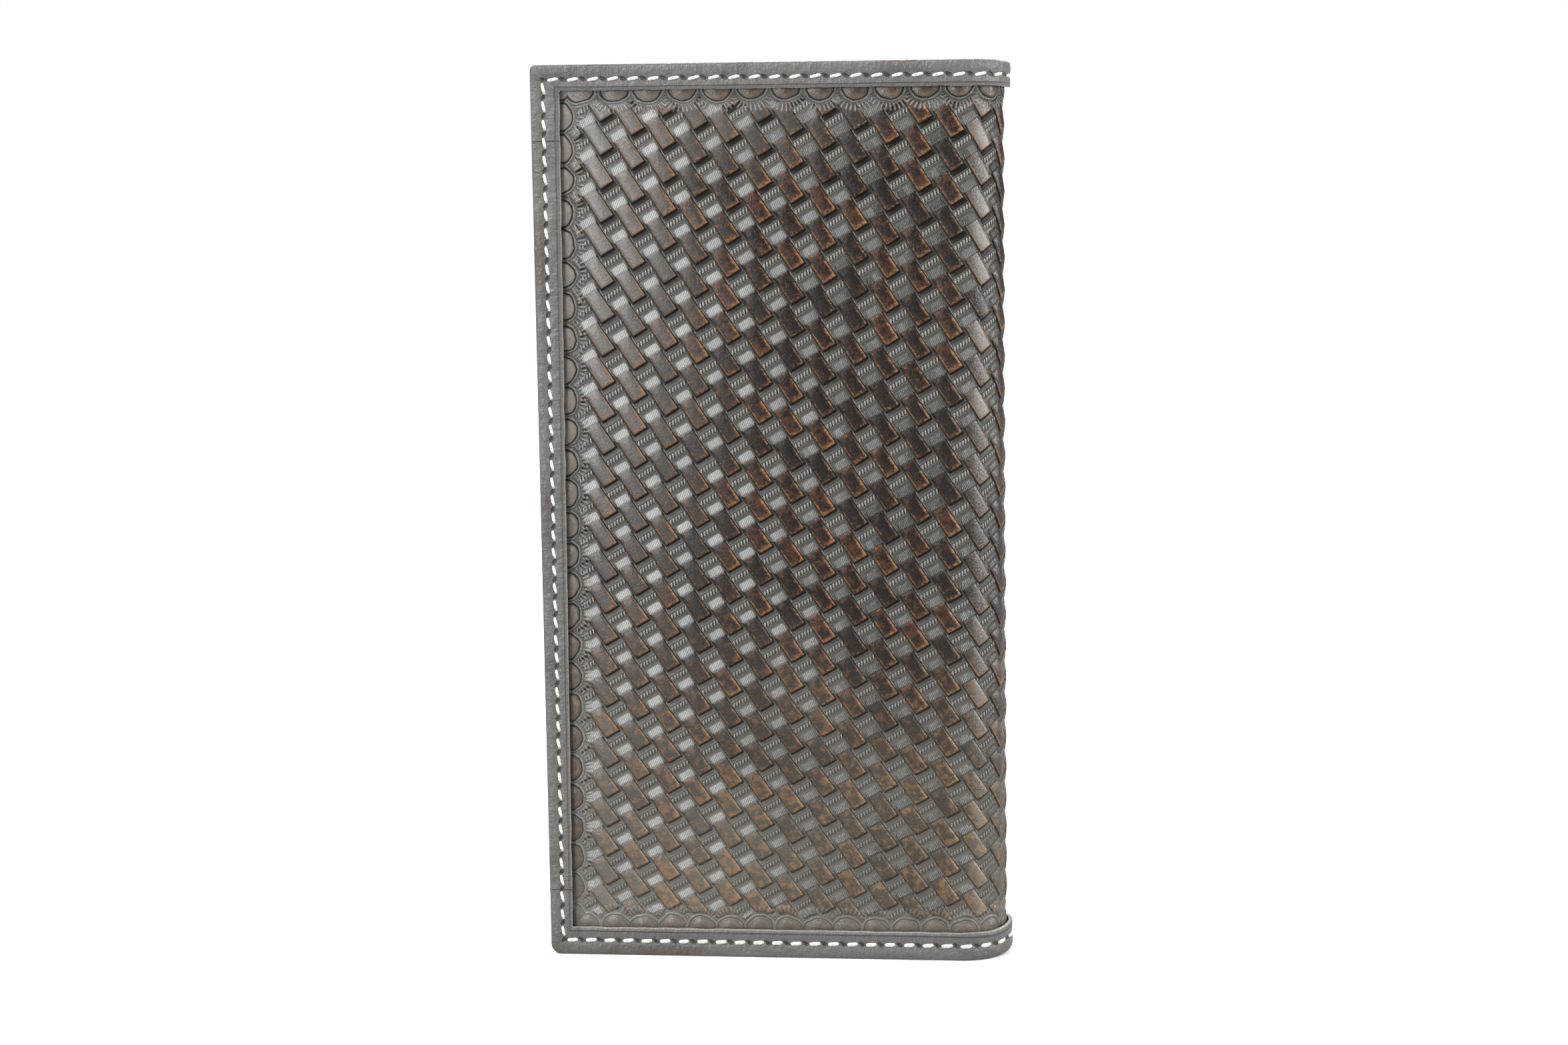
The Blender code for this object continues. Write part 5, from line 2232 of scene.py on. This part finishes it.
@dataclass
class Studio:
    """White floor, white surroundings, soft lamps and the camera."""

    floor_finish: Finish
    ambient: float = 0.22
    focal_pixels: float = 4500.0
    azimuth: float = 4.654
    elevation: float = 8.12
    roll: float = -0.771
    distance: float = 620.551
    target: tuple = (1.372, 0.0, 90.324)
    lamps: tuple = (
        Softbox("key softbox", -46.0, 50.0, 1.3, 0.5, 0.5, 23.0),
        Softbox("front softbox", -38.0, 10.0, 1.4, 0.42, 0.6, 13.0),
        Softbox("side softbox", 50.0, 10.0, 1.4, 0.20, 1.0, 13.0),
        Softbox("edge softbox", 84.0, 12.0, 1.4, 0.36, 1.0, 17.0),
        Softbox("back softbox", 165.0, 40.0, 1.4, 1.0, 0.8, 6.0),
    )

    def build(self) -> None:
        """Build the whole studio."""
        self._floor()
        self._world()
        for lamp in self.lamps:
            lamp.place()
        self._camera()
        settings = bpy.context.scene.view_settings
        settings.view_transform = "Standard"

    def _floor(self) -> None:
        """A wide flat floor."""
        mesh = bmesh.new()
        bmesh.ops.create_grid(mesh, x_segments=24, y_segments=24, size=6.0)
        piece = finish_mesh("studio_floor", mesh, self.floor_finish, 60.0)

    def _world(self) -> None:
        """Even light all round, white where the camera sees it."""
        world = bpy.data.worlds.new("studio")
        bpy.context.scene.world = world
        world.use_nodes = True
        bench = NodeBench(world.node_tree)
        rays = bench.node("ShaderNodeLightPath")
        seen = bench.most(rays.outputs["Is Camera Ray"], rays.outputs["Is Transmission Ray"])
        strength = bench.blend(seen, self.ambient, 1.0)
        back = world.node_tree.nodes["Background"]
        back.inputs["Color"].default_value = (1, 1, 1, 1)
        bench.wire(strength, back.inputs["Strength"])

    def _camera(self) -> None:
        """The camera at the photograph's viewing angle."""
        a, e, r = (math.radians(x) for x in (self.azimuth, self.elevation, self.roll))
        back = Vector((math.sin(a) * math.cos(e), -math.cos(a) * math.cos(e), math.sin(e)))
        right = Vector((math.cos(a), math.sin(a), 0.0))
        upwards = back.cross(right)
        right_rolled = right * math.cos(r) + upwards * math.sin(r)
        up_rolled = upwards * math.cos(r) - right * math.sin(r)
        data = bpy.data.cameras.new("camera")
        data.sensor_width = SENSOR_WIDTH
        data.lens = SENSOR_WIDTH * self.focal_pixels / IMAGE_WIDTH
        data.clip_start, data.clip_end = 0.01, 50.0
        camera = bpy.data.objects.new("camera", data)
        place = (Vector(self.target) + back * self.distance) * MM
        turned = Matrix((right_rolled, up_rolled, back)).transposed()
        camera.matrix_world = Matrix.Translation(place) @ turned.to_4x4()
        bpy.context.scene.collection.objects.link(camera)
        bpy.context.scene.camera = camera


def main() -> None:
    """Build every sub-assembly in order."""
    logging.basicConfig(level=logging.INFO, format="%(message)s")
    noise.seed_set(NOISE_SEED)
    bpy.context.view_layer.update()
    stamped = StampedLeather("stamped leather")
    binding = BindingLeather("binding leather")
    thread = SeamThread("seam thread")
    lining = LiningCloth("lining cloth")
    clear = ClearSheetFinish("clear sheet")
    for side in Side:
        StampedCover(side, stamped).build()
        Binding(side, binding).build()
        LiningSheet(side, lining).build()
        for face in Face:
            EdgeSeam(side, face, thread).build()
        PocketSeams(side, thread).build()
    CarriedOver(clear).dress()
    Studio(PaleFloor("pale floor")).build()


if __name__ == "__main__":
    main()
